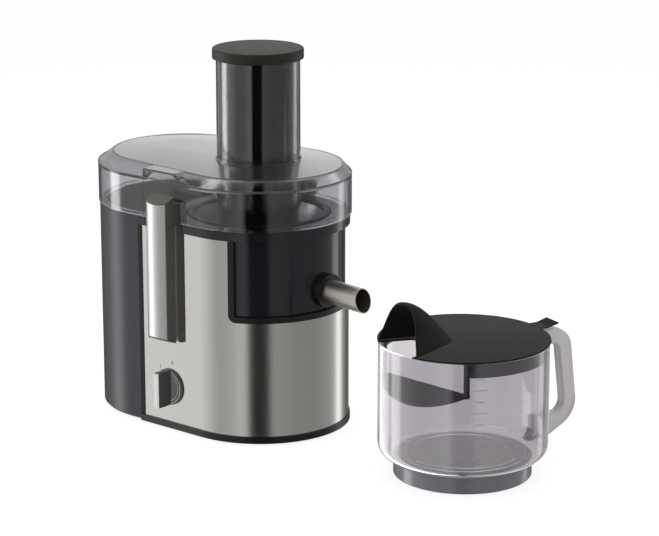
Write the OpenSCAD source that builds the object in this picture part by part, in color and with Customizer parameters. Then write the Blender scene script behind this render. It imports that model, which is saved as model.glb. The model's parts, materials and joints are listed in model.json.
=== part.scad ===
// Centrifugal juicer with its juice jug. +Z is up and the set stands on z = 0.
// The pieces of the juicer are drawn round the drive axis, and +X runs along the spout.

/* [Stance] */
// Drive axis of the juicer, from the middle of the set, along the spout
drive_x = -80; // [-110:1:-60]
// Drive axis of the juicer, from the middle of the set, across the spout
drive_y = -3; // [-20:1:20]
// Space left between pieces that rest on each other
rest_gap = 0.3; // [0.1:0.05:0.5]
// Space left beside pieces that slide or lift past each other
side_gap = 0.5; // [0.3:0.1:1]
// Radial clearance of shafts and pins
pin_gap = 0.05; // [0.02:0.01:0.09]

/* [Motor base] */
// Half width of the motor base
body_r = 92.5; // [88:0.5:98]
// Centre of the round front end, from the drive axis
front_x = 2.5; // [0:0.5:4]
// Centre of the round rear end, from the drive axis
rear_x = -105; // [-120:0.5:-100]
// Height of the rubber feet under the base
foot_h = 1; // [1:0.5:6]
// Radius of a rubber foot
foot_r = 9; // [6:0.5:12]
// Depth of the seat of a rubber foot in the bottom cover
foot_seat = 1; // [0.5:0.25:1.25]
// Height of the black rim round the bottom
rim_h = 7; // [6:0.5:12]
// How far the black rim stands out from the steel
rim_out = 1.5; // [0.5:0.25:2]
// Thickness of the bottom cover
cover_t = 2.5; // [2:0.25:4]
// Top of the steel panel above the bench
panel_top = 216; // [205:1:228]
// Thickness of the steel panel
steel_t = 0.8; // [0.5:0.1:1.2]
// Wall of the plastic housing behind the steel
shell_t = 2.2; // [1.8:0.1:3]
// Outer face of the bulkhead that the pulp container stands against
seam_x = -87; // [-90:0.5:-84]
// Thickness of the bulkhead, seen as a dark strip beside the steel
bulkhead_t = 4; // [3:0.5:5]
// Height of the deck that carries the bowl
deck_z = 130; // [124:1:136]
// Thickness of the deck
deck_t = 3; // [2.5:0.5:5]
// Left edge of the front window, from the drive axis
window_x = 34; // [28:1:44]
// Radius of the lower corners of the front window
window_r = 8; // [4:1:14]
// Width of the dark frame round the front window
trim_w = 6; // [4:0.5:9]
// Depth of the dark frame round the front window
trim_t = 2.6; // [2:0.1:3]

/* [Knob] */
// Knob axis, from the drive axis
knob_x = -41; // [-46:1:-32]
// Knob axis above the bench
knob_z = 48.5; // [42:0.5:60]
// Radius of the knob's disc
knob_r = 19.5; // [15:0.5:21]
// Thickness of the knob's disc
knob_t = 5; // [4:0.5:9]
// Width of the pointer bar across the knob
pointer_w = 7.5; // [5:0.5:10]
// How far the pointer bar stands out from the disc
pointer_h = 16.5; // [8:0.5:18]
// Radius of the switch spindle
spindle_r = 3; // [2.5:0.5:4]

/* [Clamps] */
// Middle of each clamp, from the drive axis
clamp_x = -34; // [-40:1:-24]
// Width of a clamp lever
lever_w = 28; // [22:1:34]
// Bottom of a clamp lever above the bench
lever_z = 102; // [96:1:108]
// How far the clamp lever goes on above its hook
lever_over = 20; // [15:1:24]
// Depth of a clamp lever from its back to its rounded front
lever_d = 17; // [13:0.5:18]
// Bevel at both ends of a clamp lever
lever_bevel = 6; // [3:0.5:7]
// How far a lever's front bulges at the middle
lever_bulge = 4; // [3:0.5:6]
// Width of the silver face's edge on the sides of a lever
face_edge = 0.5; // [0.25:0.25:3]
// How far the hinge bracket stands out from the steel
bracket_d = 12; // [10:0.5:15]
// Width of the hinge bracket
bracket_w = 27; // [22:1:30]
// Space between the hinge bracket and the lever
lever_gap = 2.5; // [2:0.25:4]
// Hinge pin of a clamp above the bench
hinge_z = 108; // [104:1:114]
// Radius of the hinge pin
hinge_r = 2; // [1.5:0.25:3]
// Radius of the rounded foot of the hinge bracket
ear_r = 7.5; // [7:0.25:8]
// Width of the arm between lever and hinge pin
arm_w = 12; // [8:1:15]
// Width of the hook that enters the lid's keeper
hook_w = 12; // [8:1:14]
// Height of the clamp hook over the rim of the lid
hook_rise = 11; // [8:1:14]
// Height of the hook
hook_h = 6; // [4:0.5:7]

/* [Collector bowl] */
// Gap between the bowl and the housing round it
bowl_gap = 0.6; // [0.3:0.1:4]
// Wall of the collector bowl
bowl_t = 2.5; // [2:0.1:3.5]
// Height of the dark collar round the top of the bowl
collar_h = 10.4; // [8:0.2:14]
// How far the bowl's collar stands out past the steel
collar_out = 1.5; // [0.5:0.25:3]
// Radius of the tube in the floor of the bowl
well_r = 24; // [22.5:0.5:25]
// Top of the tube in the floor of the bowl, above the bench
well_top = 150; // [148:1:154]
// Floor of the bowl above the bench
floor_top = 144.5; // [142:0.5:145]
// Space between the basket's rim and the lip round the top of the bowl
lip_gap = 2.5; // [1.5:0.25:4]

/* [Spout] */
// Outer radius of the spout
spout_r = 12.5; // [10:0.5:15]
// Wall of the spout
spout_t = 0.9; // [0.6:0.1:1.5]
// Middle of the spout's mouth, from the drive axis
spout_end = 142; // [125:1:155]
// Spout axis above the bench, where it meets the bowl
spout_z = 157; // [152:1:165]
// Downward slope of the spout
spout_tilt = 3.5; // [0:0.5:8]
// Lean of the cut at the spout's mouth
mouth_tilt = 16; // [0:1:30]
// Outer radius of the dark socket round the spout
socket_r = 18; // [16:0.5:20]
// How far the socket stands out from the bowl
socket_d = 6; // [4:0.5:9]

/* [Filter basket] */
// Radius of the grater disc
disc_r = 50; // [46:0.5:54]
// Top face of the grater disc above the bench
disc_z = 165; // [162:1:167]
// Radius of the basket's rim
basket_r = 73.5; // [68:0.5:75]
// Top of the basket's rim above the bench
basket_top = 228; // [220:1:228]
// Thickness of the filter mesh
mesh_t = 0.8; // [0.6:0.1:1.2]
// Radius of the hub under the basket
hub_r = 18; // [16:0.5:20]

/* [Lid] */
// How far the side of the lid stands out past the steel
lid_out = 5; // [3:0.5:7]
// Centre of the lid's round rear end, from the drive axis
lid_rear_x = -99.5; // [-104:0.5:-96]
// Height of the lid's upright side
lid_side_h = 42; // [36:1:48]
// Height of the slope above the upright side
slope_h = 10; // [6:0.5:13]
// Rise of the crown above the slope
crown_h = 4.5; // [3:0.5:8]
// Centre of the round front end of the slope's top edge, from the drive axis
slope_front_x = 4; // [0:0.5:8]
// Centre of the round rear end of the slope's top edge, from the drive axis
slope_rear_x = -107; // [-112:0.5:-100]
// How far the slope of the lid comes in at its front
slope_front_in = 12; // [9:0.5:16]
// How far the slope of the lid comes in at its rear
slope_rear_in = 21; // [16:0.5:26]
// Wall of the lid
lid_t = 2.5; // [2:0.25:3.5]
// Width of the ledge that the lid stands on
ledge_w = 8; // [6:0.5:10]
// Outer radius of the feed tube
tube_r = 43.8; // [36:0.2:46]
// Top of the feed tube above the bench
tube_top = 389.4; // [340:0.2:400]
// Running gap between the feed tube and the grater teeth
feed_gap = 3; // [2:0.5:5]
// How far the keeper of a clamp stands out from the lid
keeper_d = 9; // [8:0.5:10]
// Length of the raised block above each keeper
block_l = 50; // [40:1:60]
// Middle of the raised block, from the drive axis
block_x = -49; // [-56:1:-42]

/* [Pusher] */
// Radial space between the pusher and the feed tube
pusher_gap = 0.8; // [0.5:0.1:1.5]
// Wall of the pusher
pusher_t = 2.2; // [1.8:0.1:3]
// Radius of the pusher's cap
cap_r = 47.6; // [45:0.2:50]
// Height of the pusher's cap
cap_h = 11.3; // [8:0.1:14]

/* [Pulp container] */
// Wall of the pulp container
pulp_t = 2.5; // [2:0.25:3.5]
// Bevel round the bottom of the pulp container
pulp_bevel = 2.5; // [1:0.5:8]

/* [Motor] */
// Radius of the motor shaft
shaft_r = 4; // [3:0.5:5]
// Bottom of the motor shaft above the bench
shaft_z = 12; // [10:0.5:14]
// Underside of the laminated stack above the bench
core_z = 55; // [54:0.5:57]
// Height of the laminated stack
core_h = 36; // [32:1:38]
// Length of the laminated stack along the spout
core_l = 84; // [76:1:90]
// Width of the laminated stack
core_w = 64; // [60:1:70]
// Radius of the armature
armature_r = 22.6; // [20:0.2:24]
// Air gap between armature and stack
air_gap = 0.6; // [0.4:0.1:1]
// Radius of the ball bearings
bearing_r = 11; // [9:0.5:12]
// Height of the ball bearings
bearing_h = 7; // [5:0.5:8]
// Radius of the cooling fan
fan_r = 40; // [30:1:44]
// Radius of the drive coupling
dog_r = 13; // [12:0.25:13.5]

/* [Jug] */
// Middle of the jug, from the drive axis
jug_x = 271.5; // [256:0.5:300]
// Radius of the jug
jug_r = 85.5; // [78:0.5:92]
// Wall of the jug
jug_t = 2.6; // [2:0.1:3.5]
// Rim of the jug above the bench
jug_h = 138; // [130:1:155]
// Radius of the jug's foot
jug_foot_r = 69.6; // [60:0.2:75]
// Height of the jug's foot
jug_foot_h = 18; // [14:0.5:24]
// Radius of the curve between the jug's wall and its floor
jug_curve = 15; // [10:0.5:18]
// Direction of the jug's handle, from the spout's direction
handle_turn = 70; // [60:1:80]
// How far the handle reaches from the middle of the jug
handle_reach = 134; // [126:1:142]
// Thickness of the handle's grip
grip_t = 13; // [10:0.5:16]
// Width of the handle
grip_w = 20; // [14:0.5:24]
// Radius of the jug's lid
jug_lid_r = 86.4; // [86:0.2:93]
// Thickness of the jug's lid
jug_lid_t = 2.6; // [2:0.1:3.5]
// Depth of the skirt under the jug's lid
jug_skirt_h = 15; // [10:0.5:20]
// Direction of the hood, from the spout's direction
hood_turn = -110; // [-116:1:-104]
// Width of the hood
hood_w = 74; // [60:1:78]
// Height of the hood above the jug's lid
hood_h = 45; // [38:1:52]
// Length of the hood's ridge
hood_l = 27; // [18:1:32]
// Wall of the hood
hood_t = 2.2; // [1.8:0.1:3]

/* [Hidden] */
$fn = 96;

// Heights that follow from the stack of pieces
lid_z = panel_top + rest_gap + collar_h + rest_gap;
shoulder_z = lid_z + lid_side_h;
slope_z = shoulder_z + slope_h;
crown_z = slope_z + crown_h;
deck_under = deck_z - deck_t;
cover_top = foot_h + cover_t;
bowl_z = deck_z + rest_gap;
collar_z = panel_top + rest_gap;
collar_top = collar_z + collar_h;

// Faces of the housing, from the outside in
panel_in = body_r - steel_t;
skin_gap = 0.1;
shell_r = panel_in - skin_gap;
bowl_r = shell_r - shell_t - bowl_gap;
collar_r = body_r + collar_out;
lid_r = body_r + lid_out;
slope_front_r = lid_r - slope_front_in;
slope_rear_r = lid_r - slope_rear_in;
strip_x = seam_x + bulkhead_t;
bowl_back = strip_x + side_gap;

// Clamp hinge, measured out from the middle of the juicer
bracket_y = body_r + bracket_d;
lever_y = bracket_y + lever_gap;
hinge_y = bracket_y - ear_r;
keeper_y = lid_r + keeper_d;
hook_z = lid_z + hook_rise;
lever_top = hook_z + lever_over;
arm_gap = 0.4;
hook_reach = 7;

// Switches and cord inlet
switch_wall = body_r - steel_t - shell_t - 2 * skin_gap;
nut_t = 1.5;
knob_back = body_r + nut_t + 0.7;
neck_r = 6.5;
hole_r = 7;
inlet_x = -60;
inlet_z = 26;
inlet_r = 8;
reset_x = 30;
reset_y = 44;
reset_r = 4;
reset_collar = reset_r + 1.4;

// Screws and feet of the bottom cover
foot_x = body_r - 30.5;
foot_y = body_r - 40.5;
rear_foot_y = body_r - 26.5;
foot_places = [[foot_x, foot_y], [foot_x, -foot_y], [-62, rear_foot_y], [-62, -rear_foot_y]];
cover_screw_y = body_r - 20.5;
cover_screw_places = [[40, cover_screw_y], [40, -cover_screw_y], [-70, 40], [-70, -40]];
peg_r = 3;
head_r = 3.6;
head_h = 1.2;
boss_r = 5;

// Motor heights
core_top = core_z + core_h;
plate_t = 3;
bracket_out = 13;
upper_z = core_top + bracket_out;
lower_z = core_z - bracket_out - plate_t;
post_x = core_l / 2 - 6;
post_y = core_w / 2 - 5;
mount_x = core_l / 2 + 8;
mount_y = 26;
screw_r = 2;
screw_gap = 0.1;
mount_h = 8;
dog_z = deck_z + 1;
dog_top = dog_z + 7;
seal_r = 20;
well_t = 2;
tooth_h = 6;
brush_z = core_z - 9;
brush_w = 6;
brush_h = 5;
brush_l = 14;
commutator_r = 12;
holder_wall = 1.5;
holder_y = commutator_r + 3;
screw_bite = 9;

// Basket heights
disc_t = 2;
disc_under = disc_z - disc_t;
tooth_top = disc_z + 1.5;
hub_z = dog_top + 0.4;
flange_t = 2;
rim_band = 4;

// Pusher and feed tube
tube_in = tube_r - lid_t;
tube_z = tooth_top + feed_gap;
pusher_r = tube_in - pusher_gap;
pusher_z = tube_z + 3;
cap_z = tube_top + rest_gap;

// Jug
jug_lid_z = jug_h + rest_gap;
jug_in = jug_r - jug_t;
skirt_r = jug_in - side_gap;
skirt_t = 2;
jug_floor_z = jug_foot_h + rest_gap;
jug_wall_z = jug_floor_z + jug_curve;
handle_top = jug_h - 2.5;
hood_face = sqrt(jug_lid_r * jug_lid_r - hood_w * hood_w / 4) - 1;
hood_tail = 38;
hood_ridge_w = 0.55 * hood_w;
hood_tail_w = 0.4 * hood_w;
chord = 57;
chord_turn = hood_turn + 16;
far = 400;

// ---- shared shapes ----

// A slot-shaped outline: two round ends of one radius, joined by straight sides
module stadium(r, x1, x2) {
    translate([x1, 0]) circle(r);
    translate([x2, 0]) circle(r);
    translate([x2, -r]) square([x1 - x2, 2 * r]);
}

// The outline of the motor base, drawn in or out by choosing r
module base_prism(r, z1, z2) {
    translate([0, 0, z1]) linear_extrude(z2 - z1) stadium(r, front_x, rear_x);
}

// The outline of the lid
module lid_prism(r, z1, z2) {
    translate([0, 0, z1]) linear_extrude(z2 - z1) stadium(r, 0, lid_rear_x);
}

// Everything in front of a plane across the spout's direction
module in_front_of(x) {
    translate([x, -far, -1]) cube([2 * far, 2 * far, 2 * far]);
}

// Everything behind that plane
module behind(x) {
    translate([x - 2 * far, -far, -1]) cube([2 * far, 2 * far, 2 * far]);
}

// The front window seen from the side: open to the front and to the top, with a round lower corner
module window_cut(inset) {
    left = window_x + inset;
    low = deck_z + inset;
    round_r = max(window_r - inset, 1);
    rotate([90, 0, 0]) translate([0, 0, -far]) linear_extrude(2 * far) {
        translate([left + round_r, low]) square([far, far]);
        translate([left, low + round_r]) square([far, far]);
        translate([left + round_r, low + round_r]) circle(round_r);
    }
}

// A ring standing on z1
module ring(r_out, r_in, z1, z2) {
    translate([0, 0, z1]) difference() {
        cylinder(r = r_out, h = z2 - z1);
        translate([0, 0, -1]) cylinder(r = r_in, h = z2 - z1 + 2);
    }
}

// A round bar standing on z1
module rod(r, z1, z2) {
    translate([0, 0, z1]) cylinder(r = r, h = z2 - z1);
}

// A bar lying across the juicer, from its inner end y1 to its outer end y2 on the near side
module across(r, y1, y2) {
    translate([0, -y1, 0]) rotate([90, 0, 0]) cylinder(r = r, h = y2 - y1);
}

// Copies at the four corners of a rectangle
module corners(x, y) {
    for (sx = [-1, 1], sy = [-1, 1]) translate([sx * x, sy * y, 0]) children();
}

// Copies on both sides of the juicer
module near_side() { translate([clamp_x, 0, 0]) children(); }
module far_side() { translate([clamp_x, 0, 0]) mirror([0, 1, 0]) children(); }

// The juicer's pieces stand at the drive axis, and the jug's pieces at the jug's own middle
module at_drive() { translate([drive_x, drive_y, 0]) children(); }
module at_jug() { translate([drive_x + jug_x, drive_y, 0]) children(); }

// ---- motor base ----

module bottom_cover() {
    vent_w = 4;
    vent_l = 44;
    vent_pitch = 8;
    color("#1c1c1e") difference() {
        intersection() {
            base_prism(body_r + rim_out, foot_h, foot_h + rim_h);
            in_front_of(seam_x);
        }
        difference() {
            base_prism(body_r - shell_t - 2, cover_top, foot_h + rim_h + 1);
            behind(strip_x);
        }
        base_prism(body_r + skin_gap, foot_h + rim_h - 2, foot_h + rim_h + 1);
        for (p = foot_places) translate([p[0], p[1], 0]) {
            rod(peg_r + pin_gap, 0, cover_top + 1);
            rod(foot_r + skin_gap, 0, foot_h + foot_seat);
        }
        for (p = cover_screw_places) translate([p[0], p[1], 0]) {
            rod(screw_r + screw_gap, 0, cover_top + 1);
            rod(head_r + skin_gap, 0, foot_h + head_h + skin_gap);
        }
        for (i = [-3:3]) translate([-vent_l / 2, vent_pitch * i - vent_w / 2, 0])
            cube([vent_l, vent_w, cover_top + 1]);
        translate([reset_x, reset_y, 0]) rod(reset_r + side_gap, 0, cover_top + 1);
    }
}

module rubber_feet() {
    color("#2a2a2c") for (p = foot_places) translate([p[0], p[1], 0]) {
        rod(foot_r, 0, foot_h + foot_seat);
        rod(peg_r, foot_h, cover_top);
    }
}

module cover_screws() {
    color("silver") for (p = cover_screw_places) translate([p[0], p[1], 0]) {
        rod(head_r, foot_h, foot_h + head_h);
        rod(screw_r, foot_h + head_h - 0.2, cover_top + screw_bite);
    }
}

// Holes for the switch and for the cord inlet
module side_holes() {
    translate([knob_x, 0, knob_z]) across(hole_r, body_r - 10, body_r + 10);
    translate([inlet_x, 0, inlet_z]) mirror([0, 1, 0]) across(inlet_r + skin_gap, body_r - 10, body_r + 10);
}

module housing() {
    boss_top = 24;
    color("#202124") difference() {
        union() {
            difference() {
                intersection() {
                    base_prism(shell_r, foot_h + rim_h - 2 + skin_gap, panel_top);
                    in_front_of(seam_x);
                }
                base_prism(shell_r - shell_t, 0, far);
            }
            intersection() {
                base_prism(body_r, foot_h + rim_h - 2 + skin_gap, panel_top);
                in_front_of(seam_x);
                behind(strip_x);
            }
            intersection() {
                base_prism(shell_r - 1, deck_under, deck_z);
                in_front_of(seam_x + 1);
            }
            for (p = cover_screw_places) translate([p[0], p[1], 0]) rod(boss_r, cover_top, deck_under + 1);
            corners(mount_x, mount_y) rod(boss_r + 1, upper_z + plate_t + mount_h, deck_under + 1);
            ring(well_r - well_t - rest_gap, seal_r, deck_z - 1, deck_z + 6);
        }
        window_cut(0);
        rod(seal_r, 0, deck_z + 20);
        for (p = cover_screw_places) translate([p[0], p[1], 0]) rod(screw_r + screw_gap, 0, boss_top);
        corners(mount_x, mount_y) rod(screw_r + screw_gap, 0, deck_under - 2);
        side_holes();
    }
}

module steel_panel() {
    color("#c9c9c7") difference() {
        intersection() {
            base_prism(body_r, foot_h + rim_h - 2 + skin_gap, panel_top);
            in_front_of(strip_x + skin_gap);
        }
        base_prism(panel_in, 0, far);
        window_cut(0);
        side_holes();
    }
}

module window_frame() {
    color("#141416") difference() {
        intersection() {
            difference() {
                base_prism(body_r + skin_gap, deck_z, panel_top);
                base_prism(body_r - trim_t, 0, far);
            }
            window_cut(skin_gap);
        }
        window_cut(trim_w);
    }
}

module shaft_seal() {
    color("#303030") ring(seal_r - skin_gap, dog_r + side_gap, deck_under, deck_z);
}

// ---- cord inlet and switches ----

module cord_inlet() {
    cord_r = 3.6;
    flange_r = 11;
    inside = 8;
    color("#1a1a1a") translate([inlet_x, body_r, inlet_z]) rotate([-90, 0, 0]) difference() {
        union() {
            translate([0, 0, -inside]) cylinder(r = inlet_r, h = inside + 1);
            translate([0, 0, skin_gap]) cylinder(r = flange_r, h = 3);
        }
        translate([0, 0, -inside - 1]) cylinder(r = cord_r, h = inside + 6);
    }
}

module rotary_switch() {
    box_w = 24;
    box_h = 26;
    box_d = 22;
    color("#3a3a3c") translate([knob_x, -switch_wall, knob_z]) difference() {
        union() {
            translate([-box_w / 2, 0, -box_h / 2]) cube([box_w, box_d, box_h]);
            rotate([90, 0, 0]) translate([0, 0, -1]) cylinder(r = neck_r, h = shell_t + steel_t + 2);
        }
        rotate([90, 0, 0]) translate([0, 0, -15]) cylinder(r = spindle_r + pin_gap, h = 30);
    }
}

module switch_nut() {
    color("#b0a060") translate([knob_x, -body_r, knob_z]) rotate([90, 0, 0]) difference() {
        cylinder(r = 9, h = nut_t);
        translate([0, 0, -1]) cylinder(r = neck_r + pin_gap, h = 5);
    }
}

module switch_knob() {
    spindle_l = 13;
    color("#4a4a4c") translate([knob_x, -knob_back, knob_z]) rotate([90, 0, 0]) {
        cylinder(r = knob_r, h = knob_t);
        translate([0, 0, -spindle_l]) cylinder(r = spindle_r, h = spindle_l + 1);
        intersection() {
            cylinder(r = knob_r, h = knob_t + pointer_h);
            translate([-pointer_w / 2, -far, 0]) cube([pointer_w, 2 * far, far]);
        }
    }
}

module knob_pointer() {
    strip_t = 1.2;
    color("#d8d8d8") translate([knob_x, -knob_back - knob_t - pointer_h, knob_z]) rotate([90, 0, 0])
        translate([-pointer_w / 2, -knob_r + 1, 0]) cube([pointer_w, 2 * knob_r - 2, strip_t]);
}

module reset_switch() {
    box_w = 14;
    color("#303032") translate([reset_x, reset_y, 0]) difference() {
        translate([-box_w / 2, -box_w / 2, cover_top]) cube([box_w, box_w, 18]);
        rod(reset_collar + side_gap, 0, cover_top + 9);
    }
}

module reset_button() {
    color("#b03028") translate([reset_x, reset_y, 0]) {
        rod(reset_r, foot_h + rest_gap, cover_top + 6);
        rod(reset_collar, cover_top + rest_gap, cover_top + 2);
    }
}

// ---- clamps ----

// Side view of a bracket: a block with a round foot about the hinge pin
module bracket_block() {
    rotate([90, 0, 90]) translate([0, 0, -bracket_w / 2]) linear_extrude(bracket_w) difference() {
        union() {
            translate([-bracket_y, hinge_z]) square([bracket_d, panel_top - hinge_z]);
            translate([-bracket_y, hinge_z])
                square([bracket_y - collar_r - side_gap, lid_z - rest_gap - hinge_z]);
            translate([-hinge_y, hinge_z - ear_r]) square([hinge_y - body_r, ear_r + 1]);
            translate([-hinge_y, hinge_z]) circle(ear_r);
        }
        translate([-body_r - skin_gap, 0]) square([far, far]);
    }
}

module clamp_bracket() {
    slot_h = 16;
    difference() {
        bracket_block();
        translate([-arm_w / 2 - arm_gap, -bracket_y - 1, hinge_z - ear_r - 1])
            cube([arm_w + 2 * arm_gap, bracket_d + 2, ear_r + slot_h]);
        translate([-far, -hinge_y, hinge_z]) rotate([0, 90, 0]) cylinder(r = hinge_r + pin_gap, h = 2 * far);
    }
}

module hinge_pin() {
    translate([-bracket_w / 2 + 1, -hinge_y, hinge_z]) rotate([0, 90, 0])
        cylinder(r = hinge_r, h = bracket_w - 2);
}

// Plan of a lever: flat back and sides, rounded front
module lever_plan(side, bulge) {
    half = lever_w / 2;
    edge = lever_y + side;
    crown = edge + bulge;
    front_r = (half * half + bulge * bulge) / (2 * bulge);
    intersection() {
        translate([-half, -crown]) square([lever_w, crown - lever_y]);
        translate([0, front_r - crown]) circle(front_r);
    }
}

module lever_bar() {
    difference() {
        translate([0, 0, lever_z]) linear_extrude(lever_top - lever_z)
            lever_plan(lever_d - lever_bulge, lever_bulge);
        translate([0, -lever_y, lever_top]) rotate([atan(lever_bevel / lever_d), 0, 0])
            translate([-far, -far, 0]) cube([2 * far, far, far]);
        translate([0, -lever_y, lever_z]) rotate([-atan(lever_bevel / lever_d), 0, 0])
            translate([-far, -far, -far]) cube([2 * far, far, far]);
    }
}

// Everything in front of the line where the silver face begins
module lever_front() {
    translate([-far, -far - lever_y - lever_d + lever_bulge + face_edge, -far]) cube([2 * far, far, 3 * far]);
}

module clamp_lever() {
    arm_r = 4;
    arm_h = 9;
    difference() {
        union() {
            difference() {
                lever_bar();
                lever_front();
            }
            translate([-arm_w / 2, -lever_y - 1, hinge_z - arm_r])
                cube([arm_w, lever_y + 1 - hinge_y, arm_r + arm_h]);
            translate([-arm_w / 2, -hinge_y, hinge_z]) rotate([0, 90, 0]) cylinder(r = arm_r, h = arm_w);
            translate([-hook_w / 2, -lever_y - 1, hook_z]) cube([hook_w, hook_reach + 1, hook_h]);
        }
        translate([-far, -hinge_y, hinge_z]) rotate([0, 90, 0]) cylinder(r = hinge_r + pin_gap, h = 2 * far);
    }
}

module clamp_face() {
    intersection() {
        lever_bar();
        lever_front();
    }
}

module near_clamp_bracket() { color("#2c2c2c") near_side() clamp_bracket(); }
module far_clamp_bracket() { color("#2c2c2c") far_side() clamp_bracket(); }
module near_hinge_pin() { color("silver") near_side() hinge_pin(); }
module far_hinge_pin() { color("silver") far_side() hinge_pin(); }
module near_clamp_lever() { color("#4a4844") near_side() clamp_lever(); }
module far_clamp_lever() { color("#4a4844") far_side() clamp_lever(); }
module near_clamp_face() { color("#d4d4d4") near_side() clamp_face(); }
module far_clamp_face() { color("#d4d4d4") far_side() clamp_face(); }

// ---- motor ----

// A bearing bracket: a plate, four posts onto the stack and a cup for the bearing
module bearing_bracket(z, post_from, post_to, cup_from, cup_to) {
    translate([-core_l / 2, -core_w / 2, z]) cube([core_l, core_w, plate_t]);
    corners(post_x, post_y) rod(5, post_from, post_to);
    rod(bearing_r + 3, cup_from, cup_to);
}

module upper_bracket() {
    color("#b8bcc0") difference() {
        union() {
            bearing_bracket(upper_z, core_top, upper_z + 1, upper_z - 1, upper_z + bearing_h + 2);
            for (s = [-1, 1]) translate([-mount_x - 7, s * mount_y - 7, upper_z])
                cube([2 * mount_x + 14, 14, plate_t]);
        }
        rod(bearing_r + pin_gap, upper_z, upper_z + bearing_h + 5);
        rod(shaft_r + 2, 0, far);
        corners(post_x, post_y) rod(screw_r + screw_gap, 0, far);
        corners(mount_x, mount_y) rod(screw_r + screw_gap, 0, far);
    }
}

module lower_bracket() {
    color("#b8bcc0") difference() {
        bearing_bracket(lower_z, lower_z + 1, core_z, lower_z - bearing_h - 1, lower_z + 1);
        rod(bearing_r + pin_gap, lower_z - bearing_h - 5, lower_z);
        rod(shaft_r + 2, 0, far);
        corners(post_x, post_y) rod(screw_r + screw_gap, 0, far);
    }
}

module stator_core() {
    color("#6f7478") difference() {
        translate([-core_l / 2, -core_w / 2, core_z]) cube([core_l, core_w, core_h]);
        rod(armature_r + air_gap, core_z - 1, core_top + 1);
        corners(post_x, post_y) rod(screw_r + screw_gap, 0, far);
    }
}

module field_coils() {
    coil_h = 8;
    coil_in = armature_r + 3;
    coil_out = coil_in + 8;
    color("#b8703a") for (z = [core_z - coil_h, core_top], side = [0, 180]) intersection() {
        ring(coil_out, coil_in, z, z + coil_h);
        translate([0, 0, z]) rotate([0, 0, side - 45]) cube([far, far, coil_h]);
    }
}

module bearings() {
    color("#d0d0d0") {
        ring(bearing_r, shaft_r + pin_gap, upper_z + pin_gap, upper_z + pin_gap + bearing_h);
        ring(bearing_r, shaft_r + pin_gap, lower_z - bearing_h - pin_gap, lower_z - pin_gap);
    }
}

module motor_screws() {
    color("silver") corners(post_x, post_y) {
        rod(screw_r, lower_z - 1, upper_z + plate_t + 2);
        rod(screw_r + 1.6, lower_z - 3, lower_z);
        ring(screw_r + 1.6, screw_r - 0.5, upper_z + plate_t, upper_z + plate_t + 2);
    }
}

module rubber_mounts() {
    color("#242424") corners(mount_x, mount_y)
        ring(7, screw_r + screw_gap, upper_z + plate_t, upper_z + plate_t + mount_h);
}

module mount_screws() {
    color("silver") corners(mount_x, mount_y) {
        rod(screw_r, upper_z - 1, deck_under - 4);
        rod(screw_r + 1.6, upper_z - 2, upper_z);
    }
}

module brush_holders() {
    color("#c8a850") for (s = [0, 180]) rotate([0, 0, s]) difference() {
        translate([-brush_w / 2 - holder_wall, holder_y, lower_z + plate_t])
            cube([brush_w + 2 * holder_wall, brush_l, brush_z - lower_z - plate_t + brush_h + holder_wall]);
        translate([-brush_w / 2 - skin_gap, holder_y - 5, brush_z - skin_gap])
            cube([brush_w + 2 * skin_gap, brush_l + 10, brush_h + 2 * skin_gap]);
    }
}

module carbon_brushes() {
    color("#3c3c3c") for (s = [0, 180]) rotate([0, 0, s])
        translate([-brush_w / 2, commutator_r + rest_gap, brush_z]) cube([brush_w, brush_l, brush_h]);
}

module motor_shaft() {
    color("#c8ccd0") rod(shaft_r, shaft_z, dog_z + 4);
}

module armature() {
    color("#8a5a34") difference() {
        union() {
            rod(armature_r, core_z, core_top);
            rod(armature_r - 5, core_top - 1, core_top + 8);
            rod(commutator_r, lower_z + plate_t + 1, core_z + 1);
        }
        rod(shaft_r + pin_gap, 0, far);
    }
}

module cooling_fan() {
    fan_z = shaft_z + 1;
    blade_h = 9;
    blades = 10;
    color("#e6e2d4") difference() {
        union() {
            rod(9, fan_z, fan_z + blade_h + 2);
            rod(fan_r, fan_z, fan_z + 2);
            for (i = [0:blades - 1]) rotate([0, 0, i * 360 / blades])
                translate([7, -0.8, fan_z + 1]) cube([fan_r - 8, 1.6, blade_h]);
        }
        rod(shaft_r + pin_gap, 0, far);
    }
}

// Six teeth on a ring, cut from bars across the middle
module dog_teeth(turn, z, h) {
    tooth_w = 4;
    intersection() {
        ring(dog_r - 0.4, 9, z, z + h);
        for (i = [0:2]) rotate([0, 0, turn + 60 * i]) translate([-far, -tooth_w / 2, z])
            cube([2 * far, tooth_w, h]);
    }
}

module drive_coupling() {
    color("#2e2e30") difference() {
        union() {
            rod(dog_r, dog_z, dog_top);
            rod(8, deck_under - 4, dog_z + 1);
            dog_teeth(0, dog_top - 1, tooth_h + 1);
        }
        rod(shaft_r + pin_gap, 0, dog_z + 4.5);
    }
}

// ---- collector bowl, spout and basket ----

// Plan of the bowl: round, with a flat back towards the pulp container
module bowl_plan(r, back) {
    intersection() {
        translate([front_x, 0]) circle(r);
        translate([back, -far]) square([far, 2 * far]);
    }
}

module bowl_prism(r, back, z1, z2) {
    translate([0, 0, z1]) linear_extrude(z2 - z1) bowl_plan(r, back);
}

// Along the spout's own axis, starting where it crosses the bowl's wall
module along_spout() {
    translate([front_x + bowl_r, 0, spout_z]) rotate([0, 90 + spout_tilt, 0]) children();
}

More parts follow.
